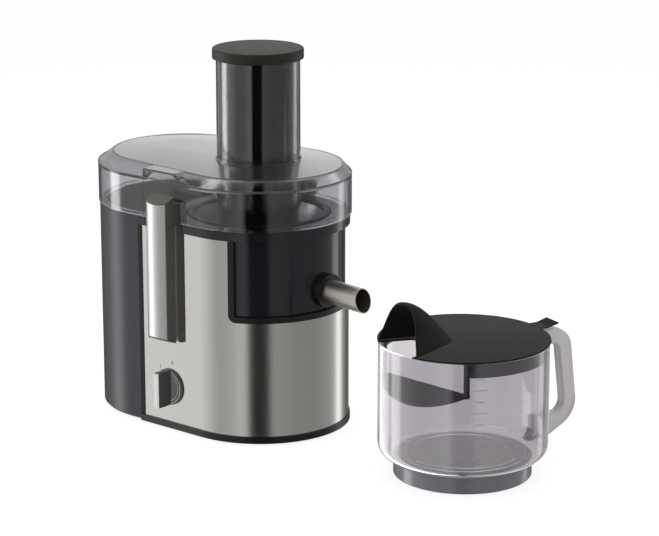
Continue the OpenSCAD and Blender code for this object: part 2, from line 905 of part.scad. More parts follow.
module collector_bowl() {
    color("#26282e") difference() {
        union() {
            bowl_prism(bowl_r, bowl_back, bowl_z, collar_top);
            intersection() {
                difference() {
                    base_prism(collar_r, collar_z, collar_top);
                    difference() {
                        base_prism(collar_r - bowl_t, collar_z - 1, collar_top - bowl_t);
                        behind(strip_x);
                    }
                }
                in_front_of(seam_x + rest_gap);
            }
        }
        difference() {
            union() {
                bowl_prism(bowl_r - bowl_t, bowl_back + bowl_t, floor_top, collar_top - bowl_t);
                rod(basket_r + lip_gap, floor_top, far);
            }
            rod(well_r, 0, well_top);
        }
        difference() {
            bowl_prism(bowl_r - bowl_t, bowl_back + bowl_t, 0, floor_top - bowl_t);
            rod(well_r, 0, far);
        }
        rod(well_r - well_t, 0, far);
        along_spout() translate([0, 0, -10]) cylinder(r = spout_r + pin_gap, h = 30);
    }
}

module juice_spout() {
    length = spout_end - front_x - bowl_r;
    color("#d0d0cc") along_spout() difference() {
        translate([0, 0, -bowl_t - 1]) cylinder(r = spout_r, h = length + bowl_t + 20);
        translate([0, 0, -bowl_t - 2]) cylinder(r = spout_r - spout_t, h = length + 40);
        translate([0, 0, length]) rotate([0, -mouth_tilt, 0]) translate([-far, -far, 0])
            cube([2 * far, 2 * far, far]);
    }
}

module spout_socket() {
    color("#17171a") difference() {
        along_spout() translate([0, 0, -6]) cylinder(r = socket_r, h = 6 + socket_d);
        translate([front_x, 0, 0]) rod(bowl_r + skin_gap, 0, far);
        along_spout() translate([0, 0, -12]) cylinder(r = spout_r + pin_gap, h = 40);
    }
}

module basket_hub() {
    skirt_in = well_r + 1.5;
    color("#1e1e20") difference() {
        union() {
            rod(hub_r, hub_z, disc_under);
            rod(disc_r, disc_under - flange_t, disc_under);
            ring(skirt_in + 2, skirt_in, well_top - 2, disc_under);
        }
        rod(dog_r + 0.4, hub_z - 1, dog_top + tooth_h + 0.6);
    }
    color("#1e1e20") dog_teeth(30, hub_z, tooth_h + 1);
}

module grater_disc() {
    rows = 5;
    per_row = 9;
    color("#c4c6c8") {
        rod(disc_r, disc_under, disc_z);
        for (row = [1:rows], i = [0:per_row - 1])
            rotate([0, 0, i * 360 / per_row + row * 16]) translate([6 + row * 6.5, 0, disc_z - 0.5])
                cylinder(r1 = 1.8, r2 = 0.5, h = 2, $fn = 20);
    }
}

module filter_mesh() {
    base_z = disc_under - flange_t;
    low_r = disc_r + skin_gap;
    high_z = basket_top - rim_band;
    high_r = basket_r - rim_band;
    color("#b8babc") rotate_extrude() polygon([
        [low_r, base_z], [low_r + mesh_t, base_z],
        [high_r + mesh_t, high_z], [high_r, high_z], [low_r, disc_z]
    ]);
}

module basket_rim() {
    color("#1e1e20") ring(basket_r, basket_r - rim_band - 1, basket_top - rim_band, basket_top);
}

// ---- lid and pusher ----

// Two thin discs, the ends of one level of the slope, d inside its top edge
module lid_level(d, z) {
    thin = 0.2;
    translate([slope_front_x, 0, z - thin]) cylinder(r = slope_front_r - d, h = thin, $fn = 60);
    translate([slope_rear_x, 0, z - thin]) cylinder(r = slope_rear_r - d, h = thin, $fn = 60);
}

// Slope and crown of the lid, drawn in by t
module lid_cap(t) {
    hull() {
        lid_prism(lid_r - 0.1 - t, shoulder_z - 1 - t, shoulder_z - t, $fn = 60);
        lid_level(t, slope_z - t);
        lid_level(34 + t, slope_z + 0.6 * crown_h - t);
        lid_level(56 + t, crown_z - t);
    }
}

// The raised block above each keeper
module lid_block(t) {
    block_y = 62;
    intersection() {
        lid_prism(lid_r - t, shoulder_z - 2 * lid_t, slope_z - t);
        for (s = [-1, 1]) translate([block_x - block_l / 2 + t, s > 0 ? block_y : -far, 0])
            cube([block_l - 2 * t, far - block_y, far]);
    }
}

module keeper() {
    width = bracket_w;
    top = hook_z + hook_h + 6;
    difference() {
        translate([-width / 2, -keeper_y, lid_z]) cube([width, keeper_d + 1, top - lid_z]);
        translate([-hook_w / 2 - side_gap, -keeper_y - 1, lid_z - 1])
            cube([hook_w + 2 * side_gap, keeper_d, hook_z + hook_h + 1 - lid_z + 1]);
    }
}

module lid() {
    color("#a8a8ac", 0.45) difference() {
        union() {
            lid_prism(lid_r, lid_z, shoulder_z);
            lid_cap(0);
            lid_block(0);
            near_side() keeper();
            far_side() keeper();
            rod(tube_r, tube_z, tube_top);
        }
        difference() {
            union() {
                lid_prism(lid_r - lid_t, lid_z + lid_t, shoulder_z - lid_t + 0.5);
                lid_cap(lid_t);
                lid_block(lid_t);
                lid_prism(lid_r - ledge_w, lid_z - 1, lid_z + lid_t + 1);
            }
            rod(tube_r, tube_z, tube_top);
        }
        rod(tube_in, tube_z - 1, tube_top + 1);
    }
}

module pusher_body() {
    color("#2c2e33", 0.9) difference() {
        rod(pusher_r, pusher_z, cap_z);
        rod(pusher_r - pusher_t, pusher_z + pusher_t, cap_z + 1);
    }
}

module pusher_cap() {
    color("#2a2a28") rod(cap_r, cap_z, cap_z + cap_h);
}

// ---- pulp container ----

// The outline of the base with bevelled sides: cones at both ends and a roof-shaped prism between
module base_frustum(r1, r2, z, h) {
    for (x = [front_x, rear_x]) translate([x, 0, z]) cylinder(r1 = r1, r2 = r2, h = h);
    translate([front_x, 0, z]) rotate([90, 0, -90]) linear_extrude(front_x - rear_x)
        polygon([[-r1, 0], [r1, 0], [r2, h], [-r2, h]]);
}

module pulp_container() {
    pulp_top = lid_z - rest_gap;
    front = seam_x - rest_gap;
    color("#3e3f45") {
        difference() {
            intersection() {
                union() {
                    base_frustum(body_r - pulp_bevel, body_r, foot_h, pulp_bevel);
                    base_prism(body_r, foot_h + pulp_bevel, pulp_top);
                }
                behind(front);
            }
            intersection() {
                base_prism(body_r - pulp_bevel - pulp_t, foot_h + pulp_t, far);
                behind(front - pulp_t);
            }
            intersection() {
                base_prism(body_r - pulp_t, foot_h + pulp_bevel, far);
                behind(front - pulp_t);
            }
        }
        for (p = [[-102, 60], [-102, -60], [-165, 0]]) translate([p[0], p[1], 0]) rod(6, 0, foot_h + 1);
    }
}

// ---- jug ----

// Points of a quarter turn about c, from angle a1 to a2
function spoke(a) = [cos(a), sin(a)];
function arc(c, r, a1, a2, n = 8) = [for (i = [0:n]) c + r * spoke(a1 + (a2 - a1) * i / n)];

module jug_body() {
    middle = [jug_r - jug_curve, jug_wall_z];
    color("#c8c8d0", 0.4) rotate_extrude() polygon(concat(
        [[0, jug_floor_z]], arc(middle, jug_curve, -90, 0), [[jug_r, jug_h], [jug_in, jug_h]],
        arc(middle, jug_curve - jug_t, 0, -90), [[0, jug_floor_z + jug_t]]
    ));
}

module jug_foot() {
    color("#7c7c80", 0.7) ring(jug_foot_r, jug_foot_r - 4, 0, jug_foot_h);
    color("#7c7c80", 0.7) ring(jug_foot_r - 3, 20, jug_foot_h - 3, jug_foot_h);
}

// Side view of the handle, d inside its outer line
module handle_side(d, root) {
    top = [handle_reach - 30, handle_top - 23.5];
    low = [handle_reach - 30, 58];
    polygon(concat(
        [[root, handle_top - d]], arc(top, 23.5 - d, 90, 8), arc(low, 30 - d, 2, -62),
        [[handle_reach - 35, 21 + 1.4 * d], [root, 17 + 1.8 * d]]
    ));
}

module jug_handle() {
    middle = [jug_r - jug_curve, jug_wall_z];
    color("#d8d8dc", 0.5) difference() {
        rotate([90, 0, handle_turn]) translate([0, 0, -grip_w / 2]) linear_extrude(grip_w) difference() {
            handle_side(0, jug_r - 8);
            handle_side(grip_t, jug_r + 8);
        }
        rotate_extrude() polygon(concat(
            [[0, jug_floor_z - skin_gap]], arc(middle, jug_curve + skin_gap, -90, 0),
            [[jug_r + skin_gap, far], [0, far]]
        ));
    }
}

module jug_lid() {
    tab_w = 22;
    color("#26261f") difference() {
        union() {
            rod(jug_lid_r, jug_lid_z, jug_lid_z + jug_lid_t);
            difference() {
                ring(skirt_r, skirt_r - skirt_t, jug_lid_z - jug_skirt_h, jug_lid_z + 1);
                rotate([0, 0, chord_turn]) translate([chord, -far, 0]) cube([far, 2 * far, far]);
            }
            rotate([90, 0, handle_turn]) translate([jug_lid_r, jug_lid_z, -tab_w / 2])
                linear_extrude(tab_w) thumb_tab();
        }
        rotate([0, 0, hood_turn]) linear_extrude(far) hood_mouth();
    }
}

// Side view of the thumb tab, from inside the lid's edge to its raised end
module thumb_tab() {
    low = 0.2;
    high = jug_lid_t - low;
    rise = 2.5;
    polygon([[-8, low], [8, low], [20, low + rise], [20, high + rise], [8, high], [-8, high]]);
}

// Plan of the opening under the hood, open to the edge of the lid
module hood_mouth() {
    depth = hood_l + 6;
    out_w = hood_w / 2 - hood_t - 3;
    in_w = out_w - depth * (hood_w - hood_tail_w) / 2 / (hood_l + hood_tail);
    translate([hood_face, 0]) polygon([
        [-depth, -in_w], [0, -out_w], [hood_w, -out_w], [hood_w, out_w], [0, out_w], [-depth, in_w]
    ]);
}

// Arch of the hood seen along the tunnel, as a half ellipse
module hood_arch(w, h) {
    steps = 16;
    polygon([for (i = [0:steps]) [-w / 2 * cos(180 * i / steps), h * pow(sin(180 * i / steps), 0.8)]]);
}

// One slice of the hood, x behind its face
module hood_slice(x, w, h) {
    translate([hood_face - x, 0, 0]) rotate([90, 0, 90]) linear_extrude(0.2) hood_arch(w, h);
}

// Tunnel of the hood, d inside its outer face: an upright face, a level ridge and a slope down
module hood_form(d) {
    lean = 8;
    hull() {
        hood_slice(0, hood_w - 2 * d, 1);
        hood_slice(lean, hood_ridge_w - 2 * d, hood_h - d);
        hood_slice(hood_l, hood_ridge_w - 2 * d, hood_h - d);
        hood_slice(hood_l + hood_tail, hood_tail_w - 2 * d, 1);
    }
}

module jug_hood() {
    z = jug_lid_z + jug_lid_t + skin_gap;
    color("#26261f") translate([0, 0, z]) rotate([0, 0, hood_turn]) difference() {
        hood_form(0);
        translate([2 * hood_t, 0, -1]) hood_form(hood_t);
        translate([-1, 0, -1]) hood_form(hood_t);
    }
}

module foam_separator() {
    drop = 33;
    slope = 32;
    plate_t = 2;
    post_w = 5;
    post_y = sqrt(skirt_r * skirt_r - chord * chord) - post_w;
    top = jug_lid_z - skin_gap;
    color("#2c2e30") rotate([0, 0, chord_turn]) intersection() {
        rod(skirt_r, 0, top);
        union() {
            translate([chord, -far, jug_h - drop]) rotate([0, slope, 0]) cube([far, 2 * far, plate_t]);
            for (s = [-1, 1]) translate([chord - 1, s * post_y - post_w / 2, jug_h - drop - 3])
                cube([4, post_w, far]);
        }
    }
}

at_drive() bottom_cover();
at_drive() rubber_feet();
at_drive() cover_screws();
at_drive() housing();
at_drive() steel_panel();
at_drive() window_frame();
at_drive() shaft_seal();
at_drive() upper_bracket();
at_drive() lower_bracket();
at_drive() stator_core();
at_drive() field_coils();
at_drive() bearings();
at_drive() motor_screws();
at_drive() rubber_mounts();
at_drive() mount_screws();
at_drive() brush_holders();
at_drive() carbon_brushes();
at_drive() cord_inlet();
at_drive() rotary_switch();
at_drive() switch_nut();
at_drive() near_clamp_bracket();
at_drive() far_clamp_bracket();
at_drive() near_hinge_pin();
at_drive() far_hinge_pin();
at_drive() reset_switch();
at_drive() motor_shaft();
at_drive() armature();
at_drive() cooling_fan();
at_drive() drive_coupling();
at_drive() collector_bowl();
at_drive() juice_spout();
at_drive() spout_socket();
at_drive() basket_hub();
at_drive() grater_disc();
at_drive() filter_mesh();
at_drive() basket_rim();
at_drive() lid();
at_drive() pusher_body();
at_drive() pusher_cap();
at_drive() near_clamp_lever();
at_drive() near_clamp_face();
at_drive() far_clamp_lever();
at_drive() far_clamp_face();
at_drive() switch_knob();
at_drive() knob_pointer();
at_drive() reset_button();
at_drive() pulp_container();
at_jug() jug_body();
at_jug() jug_foot();
at_jug() jug_handle();
at_jug() jug_lid();
at_jug() jug_hood();
at_jug() foam_separator();
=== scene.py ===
import json
from math import atan2, cos, degrees, pi, radians, sin, sqrt, tan

import bmesh
import bpy
from mathutils import Matrix, Vector


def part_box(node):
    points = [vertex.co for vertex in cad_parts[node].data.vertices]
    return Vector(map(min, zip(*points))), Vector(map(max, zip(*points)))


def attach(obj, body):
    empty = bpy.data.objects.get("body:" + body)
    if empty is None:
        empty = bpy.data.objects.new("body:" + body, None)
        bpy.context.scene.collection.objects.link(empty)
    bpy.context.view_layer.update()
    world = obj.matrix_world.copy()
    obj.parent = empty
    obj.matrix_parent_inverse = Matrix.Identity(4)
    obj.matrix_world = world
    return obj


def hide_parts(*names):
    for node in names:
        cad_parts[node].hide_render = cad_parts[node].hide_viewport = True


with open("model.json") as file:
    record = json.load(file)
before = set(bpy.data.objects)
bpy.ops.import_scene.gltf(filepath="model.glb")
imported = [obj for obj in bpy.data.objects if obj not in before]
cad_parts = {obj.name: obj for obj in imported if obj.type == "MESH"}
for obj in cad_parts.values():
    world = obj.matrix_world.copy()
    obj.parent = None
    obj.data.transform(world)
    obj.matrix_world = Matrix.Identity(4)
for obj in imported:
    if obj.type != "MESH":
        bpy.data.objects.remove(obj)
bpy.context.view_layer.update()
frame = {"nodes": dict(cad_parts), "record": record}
nodes = frame["nodes"]
print("frame loaded:", len(nodes), "nodes")

mm = 0.001


def middleOf(node):
    low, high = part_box(node)
    return (low + high) / 2


driveMiddle = middleOf("motor_shaft")
jugMiddle = middleOf("jug_foot")


def fromDrive(x, y, z):
    # millimetres from the motor axis, with z up from the table
    return Vector((driveMiddle.x + x * mm, driveMiddle.y + y * mm, z * mm))


def fromJug(x, y, z):
    # the same from the middle of the jug
    return Vector((jugMiddle.x + x * mm, jugMiddle.y + y * mm, z * mm))


# the rim of the lid, on the motor axis, is held at its column and row of the picture
view = dict(
    imageWidth=659, imageHeight=536, focalPixels=2499.5, pitch=14.9, turn=40.2,
    lidRimHeight=227, lidRimColumn=259.1, lidRimRow=210.5, pixelSize=1.05, filmWidth=36, clipEnd=50,
)
viewTurn = radians(view["turn"])
toRight = Vector((cos(viewTurn), sin(viewTurn), 0))
toCamera = Vector((sin(viewTurn), -cos(viewTurn), 0))


def addCamera():
    tilt = radians(view["pitch"])
    back = Vector((sin(viewTurn) * cos(tilt), -cos(viewTurn) * cos(tilt), sin(tilt)))
    up = back.cross(toRight)
    aim = Vector((
        view["lidRimColumn"] - view["imageWidth"] / 2,
        view["imageHeight"] / 2 - view["lidRimRow"],
        -view["focalPixels"],
    )) * view["pixelSize"] * mm
    eye = fromDrive(0, 0, view["lidRimHeight"]) - (toRight * aim.x + up * aim.y + back * aim.z)
    lens = bpy.data.cameras.new("camera")
    lens.sensor_fit = "HORIZONTAL"
    lens.sensor_width = view["filmWidth"]
    lens.lens = view["filmWidth"] * view["focalPixels"] / view["imageWidth"]
    lens.clip_end = view["clipEnd"]
    camera = bpy.data.objects.new("camera", lens)
    bpy.context.scene.collection.objects.link(camera)
    camera.matrix_world = Matrix.Translation(eye) @ Matrix((toRight, up, back)).transposed().to_4x4()
    bpy.context.scene.camera = camera


# lengths in the studio are in metres
studio = dict(
    fill=0.5, farFloorFrom=146, farFloorLevel=0.3,
    floorSize=30, floorDrop=0.0005, floorColor=0.75, floorShade=0.3, floorGlow=0.83,
    aimHeight=0.2, keySize=1.5, keyPower=9, keyHeight=1.5, keyBehind=0.2,
    sideSize=1, sidePower=7, sideHeight=0.75, sideDistance=1.3, leftAhead=0.3, rightAhead=0.2, rightShare=0.6,
    # brightness of the room seen in gloss, by the angle away from the camera, in degrees
    room=((-180, 0.95), (-152, 0.35), (-136, 0.35), (-118, 0.7), (-112, 4), (-100, 4), (-93, 1),
          (-74, 0.78), (-60, 0.5), (-40, 0.55), (-20, 0.8), (-14, 0.02), (9, 0.02), (15, 0.45), (45, 0.34),
          (80, 0.34), (106, 0.45), (116, 0.7), (119, 1.7), (128, 1.7), (134, 0.3), (150, 0.3), (180, 0.95)),
)


def feed(tree, socket, value):
    # joins a socket to another one, or sets it to a plain value
    if isinstance(value, bpy.types.NodeSocket):
        tree.links.new(value, socket)
    else:
        socket.default_value = value


def addNode(tree, kind, inputs=None, **settings):
    node = tree.nodes.new(kind)
    for name, value in settings.items():
        setattr(node, name, value)
    for key, value in (inputs or {}).items():
        feed(tree, node.inputs[key], value)
    return node


def mathOf(tree, operation, *values):
    return addNode(tree, "ShaderNodeMath", dict(enumerate(values)), operation=operation).outputs[0]


def vectorOf(tree, operation, inputs):
    return addNode(tree, "ShaderNodeVectorMath", inputs, operation=operation).outputs


def mixOf(tree, share, first, second, kind="RGBA"):
    mixed = addNode(tree, "ShaderNodeMix", {"Factor": share, "A": first, "B": second}, data_type=kind)
    return mixed.outputs["Result"]


def grey(level):
    return (level, level, level, 1)


def bouncedInside(tree, rays):
    # 1 for light that was mirrored on its way, such as inside a clear wall
    return mathOf(tree, "GREATER_THAN", rays["Glossy Depth"], 0.5)


def addWorld():
    world = bpy.data.worlds.new("studio")
    bpy.context.scene.world = world
    world.use_nodes = True
    tree = world.node_tree
    tree.nodes.clear()
    direction = addNode(tree, "ShaderNodeTexCoord").outputs["Generated"]
    ahead = vectorOf(tree, "DOT_PRODUCT", {0: direction, 1: toCamera})["Value"]
    aside = vectorOf(tree, "DOT_PRODUCT", {0: direction, 1: toRight})["Value"]
    angle = mathOf(tree, "ARCTAN2", aside, ahead)
    share = mathOf(tree, "MULTIPLY_ADD", angle, 1 / (2 * pi), 0.5)
    ramp = addNode(tree, "ShaderNodeValToRGB", {"Fac": share})
    stops = ramp.color_ramp.elements
    for i, (bearing, level) in enumerate(studio["room"]):
        where = bearing / 360 + 0.5
        stop = stops[i] if i < 2 else stops.new(where)
        stop.position = where
        stop.color = grey(level)
    # grazing reflections that look down and away meet a darker floor
    height = addNode(tree, "ShaderNodeSeparateXYZ", {0: direction}).outputs["Z"]
    far = mathOf(tree, "GREATER_THAN", mathOf(tree, "ABSOLUTE", angle), radians(studio["farFloorFrom"]))
    lowAndFar = mathOf(tree, "MULTIPLY", mathOf(tree, "LESS_THAN", height, 0), far)
    dim = mathOf(tree, "MULTIPLY_ADD", lowAndFar, studio["farFloorLevel"] - 1, 1)
    room = vectorOf(tree, "SCALE", {0: ramp.outputs["Color"], "Scale": dim})[0]
    # straight through a clear wall the background is white, and light that bounced inside it meets the room
    rays = addNode(tree, "ShaderNodeLightPath").outputs
    direct = mathOf(tree, "SUBTRACT", 1, bouncedInside(tree, rays))
    through = mathOf(tree, "MULTIPLY", rays["Is Transmission Ray"], direct)
    clear = mathOf(tree, "MAXIMUM", rays["Is Camera Ray"], through)
    mirrored = mathOf(tree, "MAXIMUM", rays["Is Glossy Ray"], rays["Is Transmission Ray"])
    shown = mixOf(tree, clear, mixOf(tree, mirrored, grey(studio["fill"]), room), grey(1))
    shine = addNode(tree, "ShaderNodeBackground", {"Color": shown})
    addNode(tree, "ShaderNodeOutputWorld", {"Surface": shine.outputs[0]})


def newMaterial(name):
    material = bpy.data.materials.new(name)
    material.use_nodes = True
    return material, material.node_tree


def addFloor():
    bpy.ops.object.select_all(action="DESELECT")
    bpy.ops.mesh.primitive_plane_add(size=studio["floorSize"], location=(0, 0, -studio["floorDrop"]))
    floor = bpy.context.active_object
    floor.name = "floor"
    bpy.ops.object.transform_apply(location=True)
    floor.visible_glossy = False
    material, tree = newMaterial("paleFloor")
    tree.nodes.clear()
    rays = addNode(tree, "ShaderNodeLightPath").outputs
    plain = addNode(tree, "ShaderNodeBsdfDiffuse", {"Color": grey(studio["floorColor"])})
    shaded = addNode(tree, "ShaderNodeBsdfDiffuse", {"Color": grey(studio["floorShade"])})
    glow = addNode(tree, "ShaderNodeEmission", {"Strength": studio["floorGlow"]})
    pale = addNode(tree, "ShaderNodeAddShader", {0: shaded.outputs[0], 1: glow.outputs[0]})
    seen = mathOf(tree, "MAXIMUM", rays["Is Camera Ray"], rays["Is Transmission Ray"])
    look = addNode(tree, "ShaderNodeMixShader", {0: seen, 1: plain.outputs[0], 2: pale.outputs[0]})
    # light that bounced inside a clear wall passes the floor, as reflections do
    passing = mathOf(tree, "MULTIPLY", bouncedInside(tree, rays), rays["Is Transmission Ray"])
    gap = addNode(tree, "ShaderNodeBsdfTransparent")
    last = addNode(tree, "ShaderNodeMixShader", {0: passing, 1: look.outputs[0], 2: gap.outputs[0]})
    addNode(tree, "ShaderNodeOutputMaterial", {"Surface": last.outputs[0]})
    floor.data.materials.append(material)


def addLamp(name, spot, size, power):
    lamp = bpy.data.lights.new(name, "AREA")
    lamp.shape = "SQUARE"
    lamp.size = size
    lamp.energy = power
    holder = bpy.data.objects.new(name, lamp)
    bpy.context.scene.collection.objects.link(holder)
    toObject = Vector((0, 0, studio["aimHeight"])) - spot
    holder.matrix_world = Matrix.Translation(spot) @ toObject.to_track_quat("-Z", "Y").to_matrix().to_4x4()
    holder.visible_glossy = False
    holder.visible_camera = False
    holder.visible_transmission = False


def addLights():
    s = studio
    high, beside = Vector((0, 0, s["keyHeight"])), Vector((0, 0, s["sideHeight"]))
    addLamp("top light", high - s["keyBehind"] * toCamera, s["keySize"], s["keyPower"])
    addLamp("left light", beside - s["sideDistance"] * toRight + s["leftAhead"] * toCamera,
            s["sideSize"], s["sidePower"])
    addLamp("right light", beside + s["sideDistance"] * toRight + s["rightAhead"] * toCamera,
            s["sideSize"], s["sidePower"] * s["rightShare"])


addCamera()
addWorld()
addFloor()
addLights()
bpy.context.scene.view_settings.view_transform = "Standard"
print("studio set")


# surface effects that the materials share
def startGroup(name, inputs, outputs):
    group = bpy.data.node_groups.new(name, "ShaderNodeTree")
    for label, kind, value in inputs:
        socket = group.interface.new_socket(label, in_out="INPUT", socket_type="NodeSocket" + kind)
        socket.default_value = value
    for label, kind in outputs:
        group.interface.new_socket(label, in_out="OUTPUT", socket_type="NodeSocket" + kind)
    return group, addNode(group, "NodeGroupInput").outputs, addNode(group, "NodeGroupOutput").inputs


def stretchedNoise(group, scale, detail):
    spot = addNode(group, "ShaderNodeTexCoord").outputs["Object"]
    scaled = vectorOf(group, "MULTIPLY", {0: spot, 1: scale})[0]
    noise = addNode(group, "ShaderNodeTexNoise", {"Vector": scaled, "Scale": 1, "Detail": detail})
    return noise.outputs["Fac"]


def buildGrainGroup(name, second, detail, mottling=None):
    # fine grain for the bump, and for colour and roughness too where there is no broad mottling
    group, start, end = startGroup(
        name,
        (("Color", "Color", grey(0.1)), (second, "Color", grey(0.12)), ("Scale", "Vector", (900, 900, 900)),
         ("Roughness", "Float", 0.4), ("Spread", "Float", 0.15)),
        (("Color", "Color"), ("Roughness", "Float"), ("Height", "Float")),
    )
    fine = stretchedNoise(group, start["Scale"], detail)
    broad = stretchedNoise(group, (mottling,) * 3, 5) if mottling else fine
    # roughness + (noise - 0.5) * spread
    centred = mathOf(group, "SUBTRACT", broad, 0.5)
    feed(group, end["Roughness"], mathOf(group, "MULTIPLY_ADD", centred, start["Spread"], start["Roughness"]))
    feed(group, end["Color"], mixOf(group, broad, start["Color"], start[second]))
    feed(group, end["Height"], fine)
    return group


surfaceGroup = buildGrainGroup("surfaceGrain", "Mottled Color", 4, 14)
brushedGroup = buildGrainGroup("brushedGrain", "Scratch Color", 3)


def rgb(red, green, blue):
    # screen values 0 to 255 as the linear colour that a shader takes
    def flat(v):
        v = v / 255
        return v / 12.92 if v <= 0.04045 else ((v + 0.055) / 1.055) ** 2.4
    return (flat(red), flat(green), flat(blue), 1)


def finish(name, group, color, second, scale, rough, spread, bump, **shader):
    material, tree = newMaterial(name)
    gloss = tree.nodes["Principled BSDF"].inputs
    values = {"Color": color, 1: second, "Scale": scale, "Roughness": rough, "Spread": spread}
    grain = addNode(tree, "ShaderNodeGroup", values, node_tree=group).outputs
    feed(tree, gloss["Base Color"], grain["Color"])
    feed(tree, gloss["Roughness"], grain["Roughness"])
    if bump:
        depth = {"Strength": bump, "Distance": 0.2 * mm, "Height": grain["Height"]}
        relief = addNode(tree, "ShaderNodeBump", depth)
        feed(tree, gloss["Normal"], relief.outputs["Normal"])
    for label, value in shader.items():
        gloss[label.replace("_", " ")].default_value = value
    return material


def plastic(name, color, second, rough, grain=1400, bump=0.25, **shader):
    return finish(name, surfaceGroup, color, second, (grain,) * 3, rough, 0.12, bump, **shader)


def brushed(name, color, second, rough, scale, bump=0.15, **shader):
    return finish(name, brushedGroup, color, second, scale, rough, 0.14, bump, Metallic=1, **shader)


def clearPlastic(name, color, second, rough, see):
    return finish(name, surfaceGroup, color, second, (60, 60, 60), rough, 0.03, 0,
                  Transmission_Weight=see, IOR=1.6)


bySlot = dict(
    black_plastic=plastic("blackPlastic", rgb(17, 17, 18), rgb(24, 24, 25), 0.36, Specular_IOR_Level=0.35),
    dark_plastic=plastic("darkPlastic", rgb(36, 36, 38), rgb(46, 46, 48), 0.5),
    rubber=plastic("blackRubber", rgb(28, 28, 28), rgb(38, 37, 36), 0.8, 700, 0.5),
    steel=brushed("turnedSteel", rgb(196, 196, 197), rgb(172, 172, 174), 0.28, (60, 60, 2500)),
    brushed_panel=brushed("brushedPanel", rgb(207, 205, 202), rgb(194, 192, 188), 0.2, (1800, 1800, 9)),
    cast_aluminium=plastic("castAluminium", rgb(190, 191, 193), rgb(170, 171, 174), 0.45, 500, 0.5,
                           Metallic=1),
    lamination=brushed("laminations", rgb(108, 110, 112), rgb(84, 85, 88), 0.42, (30, 30, 2200), 0.5),
    copper_wire=brushed("copperWire", rgb(184, 108, 60), rgb(150, 78, 38), 0.34, (1500, 30, 1500), 0.6),
    brass=brushed("brass", rgb(206, 176, 108), rgb(184, 152, 86), 0.3, (40, 40, 1500)),
    carbon=plastic("pressedCarbon", rgb(48, 47, 46), rgb(62, 61, 60), 0.6, 2200, 0.4),
    pale_plastic=plastic("naturalNylon", rgb(222, 216, 200), rgb(212, 205, 186), 0.45, 900, 0.2),
    bowl_plastic=plastic("bowlPlastic", rgb(22, 24, 29), rgb(27, 29, 35), 0.14, 400, 0.03),
    spout_steel=brushed("satinSpout", rgb(212, 208, 200), rgb(196, 191, 182), 0.36, (12, 900, 900), 0.05),
    smoky_clear=clearPlastic("smokyClear", rgb(208, 207, 211), rgb(200, 199, 204), 0.05, 1),
    smoky_dark=plastic("smokyDark", rgb(12, 13, 15), rgb(17, 18, 20), 0.06, 300, 0.02, IOR=1.8),
    cap_plastic=plastic("capPlastic", rgb(38, 37, 33), rgb(46, 45, 40), 0.5, 1600, 0.35,
                        Specular_IOR_Level=0.2),
    lever_plastic=plastic("leverPlastic", rgb(80, 77, 72), rgb(90, 87, 81), 0.42, 1500, 0.25,
                          Specular_IOR_Level=0.4),
    silver_face=brushed("silverFace", rgb(200, 200, 201), rgb(188, 188, 190), 0.4, (1600, 1600, 20), 0.08),
    red_plastic=plastic("redPlastic", rgb(176, 30, 22), rgb(160, 26, 20), 0.25, 900, 0.1),
    pulp_plastic=plastic("pulpPlastic", rgb(45, 46, 52), rgb(51, 52, 58), 0.32, 900, 0.08,
                         Specular_IOR_Level=0.3),
    clear_plastic=clearPlastic("clearPlastic", rgb(210, 206, 210), rgb(204, 200, 205), 0.04, 1),
    frosted_grey=plastic("tintedFoot", rgb(122, 123, 128), rgb(132, 133, 138), 0.18, 900, 0.05),
    olive_black=plastic("oliveBlack", rgb(21, 21, 18), rgb(27, 26, 22), 0.45, 1200, 0.1,
                        Specular_IOR_Level=0.06),
)

# the lid turns satin towards its top, and the tube above stays clear; heights in mm
frost = dict(start=272, full=280, top=284.5, rough=0.3, color=rgb(208, 204, 198), coatRough=0.04)


def buildHeightGroup():
    # 0 below one height, 1 from another one up to the top
    group, start, end = startGroup(
        "heightMask", (("From", "Float", 0), ("To", "Float", 1), ("Top", "Float", 2)), (("Mask", "Float"),))
    spot = addNode(group, "ShaderNodeTexCoord").outputs["Object"]
    height = addNode(group, "ShaderNodeSeparateXYZ", {0: spot}).outputs["Z"]
    limits = {"Value": height, "From Min": start["From"], "From Max": start["To"]}
    rise = addNode(group, "ShaderNodeMapRange", limits).outputs["Result"]
    under = mathOf(group, "LESS_THAN", height, start["Top"])
    feed(group, end["Mask"], mathOf(group, "MULTIPLY", rise, under))
    return group


def frostBand(material):
    tree = material.node_tree
    gloss = tree.nodes["Principled BSDF"].inputs
    heights = {"From": frost["start"] * mm, "To": frost["full"] * mm, "Top": frost["top"] * mm}
    mask = addNode(tree, "ShaderNodeGroup", heights, node_tree=buildHeightGroup()).outputs["Mask"]
    for label, key, kind in (("Roughness", "rough", "FLOAT"), ("Base Color", "color", "RGBA")):
        before = gloss[label].links[0].from_socket
        feed(tree, gloss[label], mixOf(tree, mask, before, frost[key], kind))
    feed(tree, gloss["Coat Weight"], mask)
    gloss["Coat Roughness"].default_value = frost["coatRough"]


frostBand(bySlot["smoky_clear"])

slotOf = {part["node"]: part["material_slot"] for part in frame["record"]["subparts"]}
for name, node in nodes.items():
    material = bySlot[slotOf[name]]
    if len(node.material_slots) == 0:
        node.data.materials.append(material)
    for holder in node.material_slots:
        holder.material = material
print("materials on", len(nodes), "nodes")


def only(piece):
    bpy.ops.object.select_all(action="DESELECT")
    piece.select_set(True)
    bpy.context.view_layer.objects.active = piece


def openEdit(piece):
    only(piece)
    bpy.ops.object.mode_set(mode="EDIT")
    bpy.ops.mesh.select_mode(type="VERT")
    bpy.ops.mesh.select_all(action="SELECT")


def closeEdit():
    bpy.ops.object.mode_set(mode="OBJECT")


